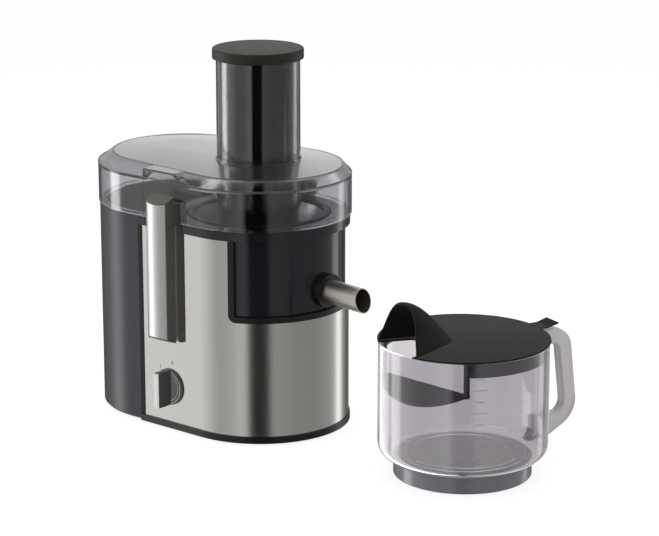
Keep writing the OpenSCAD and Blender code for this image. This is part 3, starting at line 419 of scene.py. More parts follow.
def pick(piece, kind, test):
    # selects the points, edges or faces that pass a test, in edit mode
    bpy.ops.mesh.select_mode(type=kind)
    bpy.ops.mesh.select_all(action="DESELECT")
    sheet = bmesh.from_edit_mesh(piece.data)
    for part in dict(VERT=sheet.verts, EDGE=sheet.edges, FACE=sheet.faces)[kind]:
        if test(part):
            part.select_set(True)
    sheet.select_flush_mode()
    bmesh.update_edit_mesh(piece.data)


def keepPlace(piece):
    only(piece)
    bpy.ops.object.transform_apply(location=True, rotation=True, scale=True)


def addStart(name, primitive, **values):
    # a primitive at its size and place, to be shaped afterwards
    bpy.ops.object.select_all(action="DESELECT")
    primitive(**values)
    piece = bpy.context.active_object
    piece.name = name
    keepPlace(piece)
    return piece


def drawLine(name, points, closed=True):
    # one point extruded from place to place, as with a pencil
    piece = addStart(name, bpy.ops.mesh.primitive_plane_add, size=mm, location=points[0])
    openEdit(piece)
    bpy.ops.mesh.merge(type="CENTER")
    for here, there in zip(points, points[1:]):
        bpy.ops.mesh.extrude_region_move(TRANSFORM_OT_translate={"value": there - here})
    if closed:
        last = len(points) - 1
        pick(piece, "VERT", lambda v: v.index in (0, last))
        bpy.ops.mesh.edge_face_add()
    bpy.ops.mesh.select_all(action="SELECT")
    return piece


def tidyMesh(piece):
    openEdit(piece)
    bpy.ops.mesh.remove_doubles(threshold=0.01 * mm)
    bpy.ops.mesh.select_all(action="SELECT")
    bpy.ops.mesh.normals_make_consistent(inside=False)
    closeEdit()


def softLine(corners, closed=True, arcSteps=6):
    # corners are (across, up, radius); each one is rounded by its radius
    line = []
    count = len(corners)
    for i, (a, b, radius) in enumerate(corners):
        here = Vector((a, b))
        if radius == 0 or (not closed and i in (0, count - 1)):
            line.append(here)
            continue
        before = (Vector(corners[i - 1][:2]) - here).normalized()
        after = (Vector(corners[(i + 1) % count][:2]) - here).normalized()
        opening = before.angle(after)
        middle = here + (before + after).normalized() * (radius / sin(opening / 2))
        start = here + before * (radius / tan(opening / 2)) - middle
        end = here + after * (radius / tan(opening / 2)) - middle
        first = atan2(start.y, start.x)
        sweep = (atan2(end.y, end.x) - first + pi) % (2 * pi) - pi
        for k in range(arcSteps + 1):
            angle = first + sweep * k / arcSteps
            line.append(middle + Vector((cos(angle), sin(angle))) * radius)
    return line


def turned(name, middle, outline, steps=96, closed=True, across=Vector((1, 0, 0)), up=Vector((0, 0, 1))):
    # an outline of (radius, height) in mm, spun about an axis
    points = [middle + (across * a + up * b) * mm for a, b in outline]
    piece = drawLine(name, points, closed)
    bpy.ops.mesh.spin(steps=steps, angle=2 * pi, center=middle, axis=up)
    closeEdit()
    tidyMesh(piece)
    return piece


def slab(name, outline, where, rise):
    # a flat outline, placed by a function of its two numbers, and raised
    piece = drawLine(name, [where(a, b) for a, b in outline])
    bpy.ops.mesh.edge_face_add()
    bpy.ops.mesh.extrude_region_move(TRANSFORM_OT_translate={"value": rise})
    closeEdit()
    tidyMesh(piece)
    return piece


def blockPiece(name, low, high):
    return addStart(name, bpy.ops.mesh.primitive_cube_add, size=1,
                    location=(low + high) / 2, scale=high - low)


def ovalPiece(name, levels, sides=128):
    # a round ring drawn apart into an oval, then raised and drawn in from level to level
    # a level is (height, front middle, front radius, rear middle, rear radius)
    z, frontX, frontR, rearX, rearR = levels[0]
    piece = addStart(name, bpy.ops.mesh.primitive_circle_add, vertices=sides, radius=frontR * mm,
                     location=fromDrive(frontX, 0, z))
    openEdit(piece)
    seam = fromDrive(frontX - 0.01, 0, 0).x
    pick(piece, "VERT", lambda v: v.co.x < seam)
    bpy.ops.transform.translate(value=((rearX - frontX) * mm, 0, 0))
    bpy.ops.transform.resize(value=(rearR / frontR,) * 2 + (1,), center_override=fromDrive(rearX, 0, z))
    half = fromDrive((frontX + rearX) / 2, 0, 0).x
    pick(piece, "VERT", lambda v: True)
    bpy.ops.mesh.edge_face_add()
    for level in levels[1:]:
        newZ, newFrontX, newFrontR, newRearX, newRearR = level
        bpy.ops.mesh.extrude_region_move(TRANSFORM_OT_translate={"value": (0, 0, (newZ - z) * mm)})
        sheet = bmesh.from_edit_mesh(piece.data)
        top = {v.index for v in sheet.verts if v.select}
        for isFront, oldX, newX, scale in ((True, frontX, newFrontX, newFrontR / frontR),
                                           (False, rearX, newRearX, newRearR / rearR)):
            pick(piece, "VERT", lambda v: v.index in top and (v.co.x > half) == isFront)
            bpy.ops.transform.resize(value=(scale, scale, 1), center_override=fromDrive(oldX, 0, newZ))
            bpy.ops.transform.translate(value=((newX - oldX) * mm, 0, 0))
        pick(piece, "VERT", lambda v: v.index in top)
        z, frontX, frontR, rearX, rearR = level
    closeEdit()
    tidyMesh(piece)
    return piece


def change(piece, kind, **settings):
    # gives a piece a modifier and applies it
    only(piece)
    modifier = piece.modifiers.new("change", kind)
    for name, value in settings.items():
        setattr(modifier, name, value)
    bpy.ops.object.modifier_apply(modifier=modifier.name)
    return piece


def combine(piece, tool, how):
    # joins, cuts or crosses a piece with another, which is used up
    change(piece, "BOOLEAN", operation=how, solver="EXACT", object=tool)
    bpy.data.objects.remove(tool)
    return piece


def softenEdges(piece, width, sharper=35, rounds=3):
    return change(piece, "BEVEL", width=width * mm, segments=rounds, limit_method="ANGLE",
                  angle_limit=radians(sharper), miter_outer="MITER_ARC")


def smooth(piece, angle=32):
    only(piece)
    bpy.ops.object.shade_smooth_by_angle(angle=radians(angle))
    return change(piece, "WEIGHTED_NORMAL", keep_sharp=True)


def joinPieces(pieces):
    only(pieces[0])
    for piece in pieces:
        piece.select_set(True)
    bpy.ops.object.join()
    return pieces[0]


def place(piece, material, slotName, body, *replaced):
    # finishes a piece: its material, its body and the nodes that it stands for
    if len(piece.material_slots) == 0:
        piece.data.materials.append(material)
    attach(piece, body)
    if replaced:
        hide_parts(*replaced)


def softCopy(node, name, width, sharper=40, rounds=2):
    # a merged copy of a node, with its edges rounded
    piece = bpy.data.objects.new(name, nodes[node].data.copy())
    bpy.context.scene.collection.objects.link(piece)
    piece.data.materials.clear()
    openEdit(piece)
    bpy.ops.mesh.customdata_custom_splitnormals_clear()
    bpy.ops.mesh.remove_doubles(threshold=0.005 * mm)
    bpy.ops.mesh.select_all(action="SELECT")
    bpy.ops.mesh.dissolve_limited(angle_limit=radians(1))
    closeEdit()
    softenEdges(piece, width, sharper, rounds)
    return smooth(piece)


def mirrorCopy(piece, name):
    # the same piece on the far side of the juicer
    twin = bpy.data.objects.new(name, piece.data.copy())
    bpy.context.scene.collection.objects.link(twin)
    openEdit(twin)
    bpy.ops.transform.resize(value=(1, -1, 1), center_override=fromDrive(0, 0, 0))
    bpy.ops.mesh.flip_normals()
    closeEdit()
    return twin


def hideFromGloss(*pieces):
    # keeps pieces that stand close to the steel out of its reflections
    for piece in pieces:
        piece.visible_glossy = False


def timed(label, job):
    job()
    print(label, "made")


cap = dict(
    edge=1.8, lowerEdge=0.7, crown=0.5, crownShare=0.6, crownRound=40,
    dimpleX=-30, dimpleY=-19, dimpleSize=2.6, dimpleDepth=0.5,
)


def makeCap():
    low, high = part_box("pusher_cap")
    radius = (high.x - low.x) / 2 / mm
    bottom, top = low.z / mm, high.z / mm
    outline = softLine([
        (0, bottom, 0), (radius, bottom, cap["lowerEdge"]), (radius, top - cap["crown"], cap["edge"]),
        (radius * cap["crownShare"], top, cap["crownRound"]), (0, top, 0)], False)
    piece = turned("pusherCap", fromDrive(0, 0, 0), outline, closed=False)
    size = cap["dimpleSize"]
    dimple = addStart(
        "dimple", bpy.ops.mesh.primitive_uv_sphere_add, segments=32, ring_count=16, radius=size * mm,
        location=fromDrive(cap["dimpleX"], cap["dimpleY"], top + size - cap["dimpleDepth"]))
    combine(piece, dimple, "DIFFERENCE")
    smooth(piece)
    place(piece, bySlot["cap_plastic"], "cap_plastic", "pusher", "pusher_cap")


lidShape = dict(
    rim=227, shoulder=269, slopeTop=279, crown=283.5, wall=2.5, radius=97.5, frontX=0, rearX=-99.5,
    topFrontX=4, topFrontRadius=85.5, topRearX=-107, topRearRadius=76.5, ledge=8,
    shoulderEdge=1.2, slopeEdge=1.6, edge=0.5,
    # the flat top climbs to its crown by shares of the rise, each so far in from its edge
    crownSteps=((0.35, 16), (0.7, 34), (1, 56)),
    tubeRadius=43.8, tubeTop=389.4, tubeBottom=169.5, tubeEdge=0.8, flare=1.1, flareHeight=3,
    flareFoot=2, flareSunk=1, flareLip=0.6, flareEdge=0.5, flareRound=3, boreFrom=160, boreTo=400,
    blockFrom=-74, blockTo=-30, swoopTo=-8, blockInside=60, blockDeep=8, blockEdge=1.2, blockRound=3,
    swoopRun=6, swoopFall=5, swoopRound=6, swoopEnd=0.5, swoopEndRound=2,
    keeperX=-34, keeperWidth=27, keeperDepth=9, keeperTop=250, keeperEdge=0.7,
    grooveWidth=13, grooveTop=245, grooveFrom=1.5,
    lineOut=0.25, lineDeep=1, lineHigh=1, lineTaper=0.4, topLineDrop=0.3,
    seamHalf=0.3, seamOut=0.15, seamIn=0.3, seamRearDrop=1, seamFrontDrop=4, seamEdge=0.1,
)


def lidForm(name, inset, bottom, bottomInset):
    # the outside of the lid, or its hollow when it is drawn in by an inset
    s = lidShape
    r = s["radius"] - inset
    f, b = s["topFrontRadius"] - inset, s["topRearRadius"] - inset
    shoulder, slopeTop, crown = s["shoulder"] - inset, s["slopeTop"] - inset, s["crown"] - inset
    e, g = s["shoulderEdge"], s["slopeEdge"]
    levels = [(bottom, s["frontX"], s["radius"] - bottomInset, s["rearX"], s["radius"] - bottomInset)]
    if bottomInset > inset:
        step = s["rim"] + s["wall"]
        levels.append((step,) + levels[0][1:])
        levels.append((step, s["frontX"], r, s["rearX"], r))
    # the shoulder and the top of the slope are rounded in short steps, by shares of their edges
    levels += [
        (shoulder - e, s["frontX"], r, s["rearX"], r),
        (shoulder - e * 0.4, s["frontX"], r - e * 0.12, s["rearX"], r - e * 0.12),
        (shoulder + e * 0.1, s["frontX"] + 0.2, r - e * 0.5, s["rearX"] - 0.3, r - e * 0.7),
        (shoulder + e * 0.6, s["frontX"] + 0.3, r - e, s["rearX"] - 0.6, r - e * 1.6),
        (slopeTop - g * 0.7, s["topFrontX"] - 0.2, f + g * 0.85, s["topRearX"] + 0.3, b + g * 1.3),
        (slopeTop - g * 0.2, s["topFrontX"], f, s["topRearX"], b),
        (slopeTop + g * 0.05, s["topFrontX"], f - g, s["topRearX"], b - g),
    ]
    for share, back in s["crownSteps"]:
        height = slopeTop + share * (crown - slopeTop)
        levels.append((height, s["topFrontX"], f - back, s["topRearX"], b - back))
    return ovalPiece(name, levels)


def lidBlocks(name, inset):
    # the raised blocks over the clamps: flat on top, with a swoop down at the front end
    s = lidShape
    top, foot = s["slopeTop"] - inset, s["shoulder"] - s["blockDeep"]
    rear, front, tip = s["blockFrom"] + inset, s["blockTo"] - inset, s["swoopTo"] - inset
    side = [(rear, foot, 0), (rear, top, s["blockEdge"]), (front, top, s["blockRound"]),
            (front + s["swoopRun"], top - s["swoopFall"], s["swoopRound"]),
            (tip, s["shoulder"] + s["swoopEnd"] - inset, s["swoopEndRound"]), (tip, foot, 0)]
    reach = s["radius"] + 1 - s["blockInside"]
    both = None
    for start in (s["blockInside"], -s["radius"] - 1):
        piece = slab(name, softLine(side), lambda a, b: fromDrive(a, start, b), Vector((0, reach * mm, 0)))
        both = piece if both is None else combine(both, piece, "UNION")
    r = s["radius"] - inset
    oval = (s["frontX"], r, s["rearX"], r)
    limit = ovalPiece("limit", [(foot - 1,) + oval, (top + 5,) + oval])
    return combine(both, limit, "INTERSECT")


def makeEdgeLines():
    # the dark moulded lines round the lid: along the shoulder, round the top, down the skirt at the blocks
    s = lidShape
    rings = (("shoulderLine", s["shoulder"], s["frontX"], s["radius"], s["rearX"], s["radius"]),
             ("topLine", s["slopeTop"] - s["topLineDrop"], s["topFrontX"], s["topFrontRadius"],
              s["topRearX"], s["topRearRadius"]))
    for name, z, frontX, front, rearX, rear in rings:
        out, inward, half = s["lineOut"], s["lineDeep"], s["lineHigh"] / 2
        slim = out * s["lineTaper"]
        band = ovalPiece(name, [(z - half, frontX, front + out, rearX, rear + out),
                                (z + half, frontX, front + slim, rearX, rear + slim)])
        hole = ovalPiece("hole", [(z - 2, frontX, front - inward, rearX, rear - inward),
                                  (z + 2, frontX, front - inward, rearX, rear - inward)])
        combine(band, hole, "DIFFERENCE")
        smooth(band)
        place(band, edgeGrey, "smoky_clear", "lid_body")
    out, inward = -s["radius"] - s["seamOut"], -s["radius"] + s["seamIn"]
    lines = []
    for word, x, drop in (("Rear", s["blockFrom"], s["seamRearDrop"]),
                          ("Front", s["blockTo"], s["seamFrontDrop"])):
        seamLine = blockPiece("near" + word + "Line", fromDrive(x - s["seamHalf"], out, s["rim"] + 1),
                              fromDrive(x + s["seamHalf"], inward, s["shoulder"] - drop))
        lines.append(softenEdges(seamLine, s["seamEdge"], 40, 1))
    lines += [mirrorCopy(line, line.name.replace("near", "far")) for line in lines]
    for line in lines:
        place(line, edgeGrey, "smoky_clear", "lid_body")


def makeKeepers():
    # dark blocks on the skirt of the lid, each with a groove for the hook of a clamp
    s = lidShape
    x, half, grooveHalf = s["keeperX"], s["keeperWidth"] / 2, s["grooveWidth"] / 2
    wall, deep = -s["radius"], -s["radius"] - s["keeperDepth"]
    keeper = blockPiece("nearKeeper", fromDrive(x - half, deep, s["rim"]),
                        fromDrive(x + half, wall, s["keeperTop"]))
    groove = blockPiece("groove", fromDrive(x - grooveHalf, deep - 1, s["rim"] - 1),
                        fromDrive(x + grooveHalf, wall - s["grooveFrom"], s["grooveTop"]))
    combine(keeper, groove, "DIFFERENCE")
    softenEdges(keeper, s["keeperEdge"], 50, 2)
    smooth(keeper)
    for piece in (keeper, mirrorCopy(keeper, "farKeeper")):
        place(piece, bySlot["lever_plastic"], "smoky_clear", "lid_body")


def makeLid():
    s = lidShape
    piece = lidForm("clearLid", 0, s["rim"], 0)
    combine(piece, lidBlocks("blocks", 0), "UNION")
    hollow = lidForm("hollow", s["wall"], s["rim"] - 1, s["ledge"])
    combine(hollow, lidBlocks("hollowBlocks", s["wall"]), "UNION")
    combine(piece, hollow, "DIFFERENCE")
    softenEdges(piece, s["edge"], 50, 2)
    outer, inner = s["tubeRadius"], s["tubeRadius"] - s["wall"]
    e, wide, crown = s["tubeEdge"], outer + s["flare"], s["crown"]
    tube = turned("tube", fromDrive(0, 0, 0), softLine([
        (inner, s["tubeBottom"], e), (outer, s["tubeBottom"], e), (outer, s["slopeTop"] - s["flareFoot"], 0),
        (wide, crown - s["flareSunk"], 0), (wide, crown + s["flareLip"], s["flareEdge"]),
        (outer, crown + s["flareHeight"], s["flareRound"]), (outer, s["tubeTop"], e),
        (inner, s["tubeTop"], e)]))
    combine(piece, tube, "UNION")
    low, high = s["boreFrom"], s["boreTo"]
    side = [(0, low), (inner, low), (inner, high), (0, high)]
    bore = turned("bore", fromDrive(0, 0, 0), side, closed=False)
    combine(piece, bore, "DIFFERENCE")
    smooth(piece, 28)
    place(piece, bySlot["smoky_clear"], "smoky_clear", "lid_body", "lid")


edgeGrey = plastic("edgeGrey", rgb(74, 73, 71), rgb(84, 83, 81), 0.3, 900, 0.05)
timed("pusher cap", makeCap)
timed("lid", makeLid)
timed("keepers", makeKeepers)
timed("edge lines", makeEdgeLines)


clamp = dict(
    x=-34, back=107, width=28, depth=17, bulge=4, bottom=102, top=258, bevel=6, corner=1.2, edge=0.5,
    faceWidth=26.6, faceThick=1.3, faceSunk=0.9, faceGap=0.1, faceEdge=0.35, lip=1.6, recessOut=3,
    armWidth=12, armFrom=104, armTo=117, hinge=97, hingeHeight=108, armRound=4, armEdge=0.5, pinHole=2.05,
    hookFrom=238, hookTo=244, hookReach=7, hookEdge=0.8, bracketEdge=0.8,
)


def frontCurve(halfWidth, inset, steps=16):
    # points across the bulged front of a lever
    c = clamp
    half = c["width"] / 2
    radius = (half * half + c["bulge"] ** 2) / (2 * c["bulge"])
    crown = c["back"] + c["depth"]
    line = []
    for i in range(steps + 1):
        x = halfWidth * (1 - 2 * i / steps)
        line.append(Vector((x, -(crown - inset - radius + sqrt(radius * radius - x * x)))))
    return line


def sliceEnds(piece, lower):
    # the slanted top and bottom of a lever, each moved in by an amount
    c = clamp
    slope = atan2(c["bevel"], c["depth"])
    for height, sign in ((c["top"] - lower, 1), (c["bottom"] + lower, -1)):
        openEdit(piece)
        bpy.ops.mesh.bisect(plane_co=fromDrive(0, -c["back"], height),
                            plane_no=(0, -sin(slope), sign * cos(slope)), use_fill=True, clear_outer=True)
        closeEdit()


def leverSlab(name, outline):
    c = clamp
    return slab(name, outline, lambda a, b: fromDrive(c["x"] + a, b, c["bottom"]),
                Vector((0, 0, (c["top"] - c["bottom"]) * mm)))


def makeLever():
    c = clamp
    half, armHalf = c["width"] / 2, c["armWidth"] / 2
    # the last two corners only lead the round ones, and the bulged front takes their place
    back = softLine([(-half, -c["back"], c["corner"]), (half, -c["back"], c["corner"]),
                     (half, -c["back"] - c["depth"] / 2, 0), (-half, -c["back"] - c["depth"] / 2, 0)])[:-2]
    lever = leverSlab("nearLever", back + frontCurve(half, 0))
    sliceEnds(lever, 0)
    halfFace = c["faceWidth"] / 2
    beyond, sunk = frontCurve(halfFace, -c["recessOut"]), frontCurve(halfFace, c["faceSunk"])
    recess = leverSlab("recess", beyond + sunk[::-1])
    sliceEnds(recess, c["lip"])
    combine(lever, recess, "DIFFERENCE")
    arm = blockPiece("arm", fromDrive(c["x"] - armHalf, -c["back"] - 1, c["armFrom"]),
                     fromDrive(c["x"] + armHalf, -c["hinge"], c["armTo"]))
    combine(lever, arm, "UNION")
    knuckle = turned("knuckle", fromDrive(c["x"], -c["hinge"], c["hingeHeight"]), softLine([
        (c["pinHole"], -armHalf, 0), (c["armRound"], -armHalf, c["armEdge"]),
        (c["armRound"], armHalf, c["armEdge"]), (c["pinHole"], armHalf, 0)]),
        48, across=Vector((0, 1, 0)), up=Vector((1, 0, 0)))
    combine(lever, knuckle, "UNION")
    hook = blockPiece("hook", fromDrive(c["x"] - armHalf, -c["back"] - 1, c["hookFrom"]),
                      fromDrive(c["x"] + armHalf, -c["back"] + c["hookReach"], c["hookTo"]))
    softenEdges(hook, c["hookEdge"])
    combine(lever, hook, "UNION")
    softenEdges(lever, c["edge"], 40, 2)
    return smooth(lever)


def makeFace():
    c = clamp
    half = c["faceWidth"] / 2 - c["faceGap"]
    face = leverSlab("nearLeverFace", frontCurve(half, 0) + frontCurve(half, c["faceThick"])[::-1])
    sliceEnds(face, c["lip"] + c["faceGap"])
    softenEdges(face, c["faceEdge"], 40, 2)
    return smooth(face)


def makeClamps():
    lever, face = makeLever(), makeFace()
    farLever, farFace = mirrorCopy(lever, "farLever"), mirrorCopy(face, "farLeverFace")
    for side, grip, front in (("near", lever, face), ("far", farLever, farFace)):
        place(grip, bySlot["lever_plastic"], "lever_plastic", side + "_clamp", side + "_clamp_lever")
        place(front, bySlot["silver_face"], "silver_face", side + "_clamp", side + "_clamp_face")
        bracketNode = side + "_clamp_bracket"
        bracket = softCopy(bracketNode, side + "ClampBracket", clamp["bracketEdge"])
        place(bracket, bySlot["lever_plastic"], slotOf[bracketNode], "base", bracketNode)
        hideFromGloss(grip, front, bracket, nodes[side + "_hinge_pin"])


knob = dict(
    x=-41, z=48.5, back=94.7, radius=19.5, plate=4.1, height=21.5, gripWidth=7.5, edge=0.9,
    backEdge=0.5, frontEdge=1, ridges=(17.4, 14.6), ridgeWidth=1.1, ridgeHeight=0.9, ridgeTaper=0.6,
    ridgeFoot=0.2, ridgeRound=0.3, spindle=3, spindleLong=13, spindleEdge=0.5,
    # the line sizes shape the rings of painted highlight on the ridge crests
    lineHalf=0.35, lineSunk=0.4, lineProud=0.15, lineEdge=0.1, gripGap=0.2, pointerEdge=0.35,
    markSize=6, markRadius=24.5, markSpread=45, markThick=0.05,
)


knobMiddle = fromDrive(knob["x"], -knob["back"], knob["z"])
outward = dict(across=Vector((1, 0, 0)), up=Vector((0, -1, 0)))


def makeKnob():
    # a ridged disc with a grip across it and a spindle behind
    k = knob
    r, t = k["radius"], k["plate"]
    outline = [(0, 0, 0), (r, 0, k["backEdge"]), (r, t, k["frontEdge"])]
    top, half, foot, soft = t + k["ridgeHeight"], k["ridgeWidth"] / 2, k["ridgeFoot"], k["ridgeRound"]
    crest = half * k["ridgeTaper"]
    for ridge in k["ridges"]:
        outline += [(ridge + half, t, foot), (ridge + crest, top, soft),
                    (ridge - crest, top, soft), (ridge - half, t, foot)]
    outline.append((0, t, 0))
    disc = turned("switchKnob", knobMiddle, softLine(outline, False), 96, False, **outward)
    half = k["gripWidth"] / 2
    grip = blockPiece("grip", knobMiddle + Vector((-half, -k["height"], -r)) * mm,
                      knobMiddle + Vector((half, -1, r)) * mm)
    within, beyond = r - k["gripGap"], k["height"] + 5
    around = [(0, 0), (within, 0), (within, beyond), (0, beyond)]
    drum = turned("drum", knobMiddle, around, 96, False, **outward)
    combine(grip, drum, "INTERSECT")
    softenEdges(grip, k["edge"], 40, 3)
    combine(disc, grip, "UNION")
    thin, long = k["spindle"], k["spindleLong"]
    side = softLine([(0, -long, 0), (thin, -long, k["spindleEdge"]), (thin, 1, 0), (0, 1, 0)], False)
    spindle = turned("spindle", knobMiddle, side, 32, False, **outward)
    combine(disc, spindle, "UNION")
    smooth(disc)
    place(disc, knobGrey, "dark_plastic", "knob", "switch_knob")
    hideFromGloss(disc)


def makeKnobRidgeHighlights():
    # pale rings on the crests of the ridges, a painted highlight where light catches them, open where the
    # grip crosses them
    k = knob
    rings = None
    crest = k["plate"] + k["ridgeHeight"]
    low, high, soft = crest - k["lineSunk"], crest + k["lineProud"], k["lineEdge"]
    for ridge in k["ridges"]:
        inner, outer = ridge - k["lineHalf"], ridge + k["lineHalf"]
        ring = turned("knobRidgeHighlights", knobMiddle, softLine([
            (inner, low, 0), (outer, low, 0), (outer, high, soft), (inner, high, soft)]), 96, **outward)
        rings = ring if rings is None else combine(rings, ring, "UNION")
    half, r = k["gripWidth"] / 2 + k["gripGap"], k["radius"] + 5
    gap = blockPiece("gap", knobMiddle + Vector((-half, -k["height"] - 5, -r)) * mm,
                     knobMiddle + Vector((half, 5, r)) * mm)
    combine(rings, gap, "DIFFERENCE")
    smooth(rings)
    # the rings carry the pale grey of the painted highlight
    place(rings, ridgeHighlightGrey, "silver_face", "knob")
    hideFromGloss(rings)


def makePointer():
    strip = softCopy("knob_pointer", "knobPointer", knob["pointerEdge"])
    place(strip, bySlot["silver_face"], "silver_face", "knob", "knob_pointer")
    hideFromGloss(strip)


def makeDialMarks():
    # plain 0 and 1 on the steel above the knob
    k = knob
    surface = (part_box("steel_panel")[0].y - driveMiddle.y) / mm
    for word, turn in (("0", 0), ("1", -k["markSpread"])):
        bpy.ops.object.select_all(action="DESELECT")
        bpy.ops.object.text_add(rotation=(pi / 2, 0, 0), radius=k["markSize"] * mm)
        mark = bpy.context.active_object
        mark.name = "dialMark" + word
        mark.data.body = word
        mark.data.align_x = "CENTER"
        mark.data.align_y = "CENTER"
        mark.data.extrude = k["markThick"] * mm
        bpy.ops.object.convert(target="MESH")
        angle = radians(turn)
        r = k["markRadius"]
        mark.location = fromDrive(k["x"] + r * sin(angle), surface, k["z"] + r * cos(angle))
        keepPlace(mark)
        tidyMesh(mark)
        place(mark, bySlot["dark_plastic"], "dark_plastic", "base")


# painted highlight: the pale grey on the knob's ridge crests stands in for light catching them
ridgeHighlightGrey = plastic("ridgeHighlightGrey", rgb(176, 176, 174), rgb(188, 188, 186), 0.35, 900, 0.05)
knobGrey = plastic("knobGrey", rgb(70, 70, 70), rgb(80, 80, 80), 0.42, bump=0.2)
timed("clamps", makeClamps)
timed("knob", makeKnob)
timed("knob ridge highlights", makeKnobRidgeHighlights)
timed("pointer", makePointer)
timed("dial marks", makeDialMarks)


jugShape = dict(
    radius=85.5, wall=2.6, rim=138, floor=18.3, floorThick=2.6, curve=15, rimEdge=1,
    floorRings=(54, 64), ringHeight=0.9, ringHalf=1.1, ringRound=0.3, wallFrom=60, arcSteps=12,
    footRadius=69.6, footInner=65.6, footHeight=18, plateZ=15.5, plateSlant=1, plateRound=1, footEdge=1.2,
    tickTurn=-42, tickFrom=42, tickStep=11.5, ticks=8, tickWide=9, longShare=1.6, tickHigh=0.7,
    tickSunk=0.05, tickProud=0.12,
)


def ringLine(start, end, count, middle, radius):
    # points round an arc, angles in degrees
    line = []
    for i in range(count + 1):
        angle = radians(start + (end - start) * i / count)
        line.append(Vector((middle[0] + radius * cos(angle), middle[1] + radius * sin(angle))))
    return line


def bottomCurve(grow):
    # the round corner between the floor and the wall of the jug, grown by an amount
    j = jugShape
    middle = (j["radius"] - j["curve"], j["floor"] + j["curve"])
    return ringLine(-90, 0, j["arcSteps"], middle, j["curve"] + grow)


def makeJugBody():
    j = jugShape
    inner, top = j["radius"] - j["wall"], j["floor"] + j["floorThick"]
    outline = [Vector((0, j["floor"]))] + bottomCurve(0)
    outline += softLine([(j["radius"], j["wallFrom"], 0), (j["radius"], j["rim"], j["rimEdge"]),
                         (inner, j["rim"], j["rimEdge"]), (inner, j["wallFrom"], 0)], False)
    outline += bottomCurve(-j["wall"])[::-1]
    rings = []
    for ring in sorted(j["floorRings"], reverse=True):
        half, rise, soft = j["ringHalf"], j["ringHeight"], j["ringRound"]
        rings += [(ring + half, top, soft), (ring + half / 2, top + rise, soft),
                  (ring - half / 2, top + rise, soft), (ring - half, top, soft)]
    outline += softLine([(j["radius"] - j["curve"] - 1, top, 0)] + rings + [(0, top, 0)], False, 3)
    body = turned("jugBody", fromJug(0, 0, 0), outline, 128, False)
    smooth(body)
    place(body, bySlot["clear_plastic"], "clear_plastic", "jug", "jug_body")


def makeJugFoot():
    j = jugShape
    e = j["footEdge"]
    outline = softLine([
        (0, j["plateZ"], 0), (j["footInner"] - j["plateSlant"], j["plateZ"], j["plateRound"]),
        (j["footInner"], 0, e),
        (j["footRadius"], 0, e), (j["footRadius"], j["footHeight"], e / 2), (0, j["footHeight"], 0)], False)
    foot = turned("jugFoot", fromJug(0, 0, 0), outline, 128, False)
    smooth(foot)
    place(foot, bySlot["frosted_grey"], "frosted_grey", "jug", "jug_foot")


def makeTicks():
    # level marks up the wall of the jug, long and short by turns
    j = jugShape
    ticks = []
    for i, wide in enumerate((j["tickWide"] * j["longShare"], j["tickWide"])):
        z = j["tickFrom"] + i * j["tickStep"]
        half = degrees(wide / j["radius"]) / 2
        left, right = j["tickTurn"] - half, j["tickTurn"] + half
        outline = ringLine(left, right, 8, (0, 0), j["radius"] - j["tickSunk"])
        outline += ringLine(right, left, 8, (0, 0), j["radius"] + j["tickProud"])
        tick = slab("levelMarks", outline, lambda a, b: fromJug(a, b, z), Vector((0, 0, j["tickHigh"] * mm)))
        apart = Vector((0, 0, 2 * j["tickStep"] * mm))
        ticks.append(change(tick, "ARRAY", count=j["ticks"] // 2, use_relative_offset=False,
                            use_constant_offset=True, constant_offset_displace=apart))
    place(joinPieces(ticks), levelPrint, "pale_plastic", "jug")


handle = dict(
    turn=70, width=12.5, depth=16.5, top=135.5, topMiddle=(104, 112), topRound=23.5, topArc=(90, 8),
    lowMiddle=(104, 58), lowRound=30, lowArc=(2, -62), arcSteps=10, heelX=99, heelZ=21, heelShare=1.4,
    rootZ=17, root=77, rootShare=1.8, edge=3, gap=0.1,
)


def makeHandle():
    h, j = handle, jugShape
    sides = []
    for d in (0, h["depth"]):
        # the outside of the grip, then its inside
        line = [Vector((h["root"], h["top"] - d))]
        line += ringLine(*h["topArc"], h["arcSteps"], h["topMiddle"], h["topRound"] - d)
        line += ringLine(*h["lowArc"], h["arcSteps"], h["lowMiddle"], h["lowRound"] - d)
        line += [Vector((h["heelX"], h["heelZ"] + h["heelShare"] * d)),
                 Vector((h["root"], h["rootZ"] + h["rootShare"] * d))]
        sides.append(line)
    out, back = sides
    turn = radians(h["turn"])
    half = h["width"] / 2
    side = Vector((sin(turn), -cos(turn), 0)) * mm
    piece = slab("jugHandle", out + back[::-1],
                 lambda a, b: fromJug(a * cos(turn), a * sin(turn), b) - side * half, side * h["width"])
    softenEdges(piece, h["edge"], 50, 4)
    # the handle is cut back to the wall of the jug
    gap, over = h["gap"], h["top"] + 50
    form = [Vector((0, j["floor"] - gap))] + bottomCurve(gap)
    form += [Vector((j["radius"] + gap, over)), Vector((0, over))]
    combine(piece, turned("form", fromJug(0, 0, 0), form, 128, False), "DIFFERENCE")
    smooth(piece, 40)
    place(piece, frosted, "clear_plastic", "jug", "jug_handle")


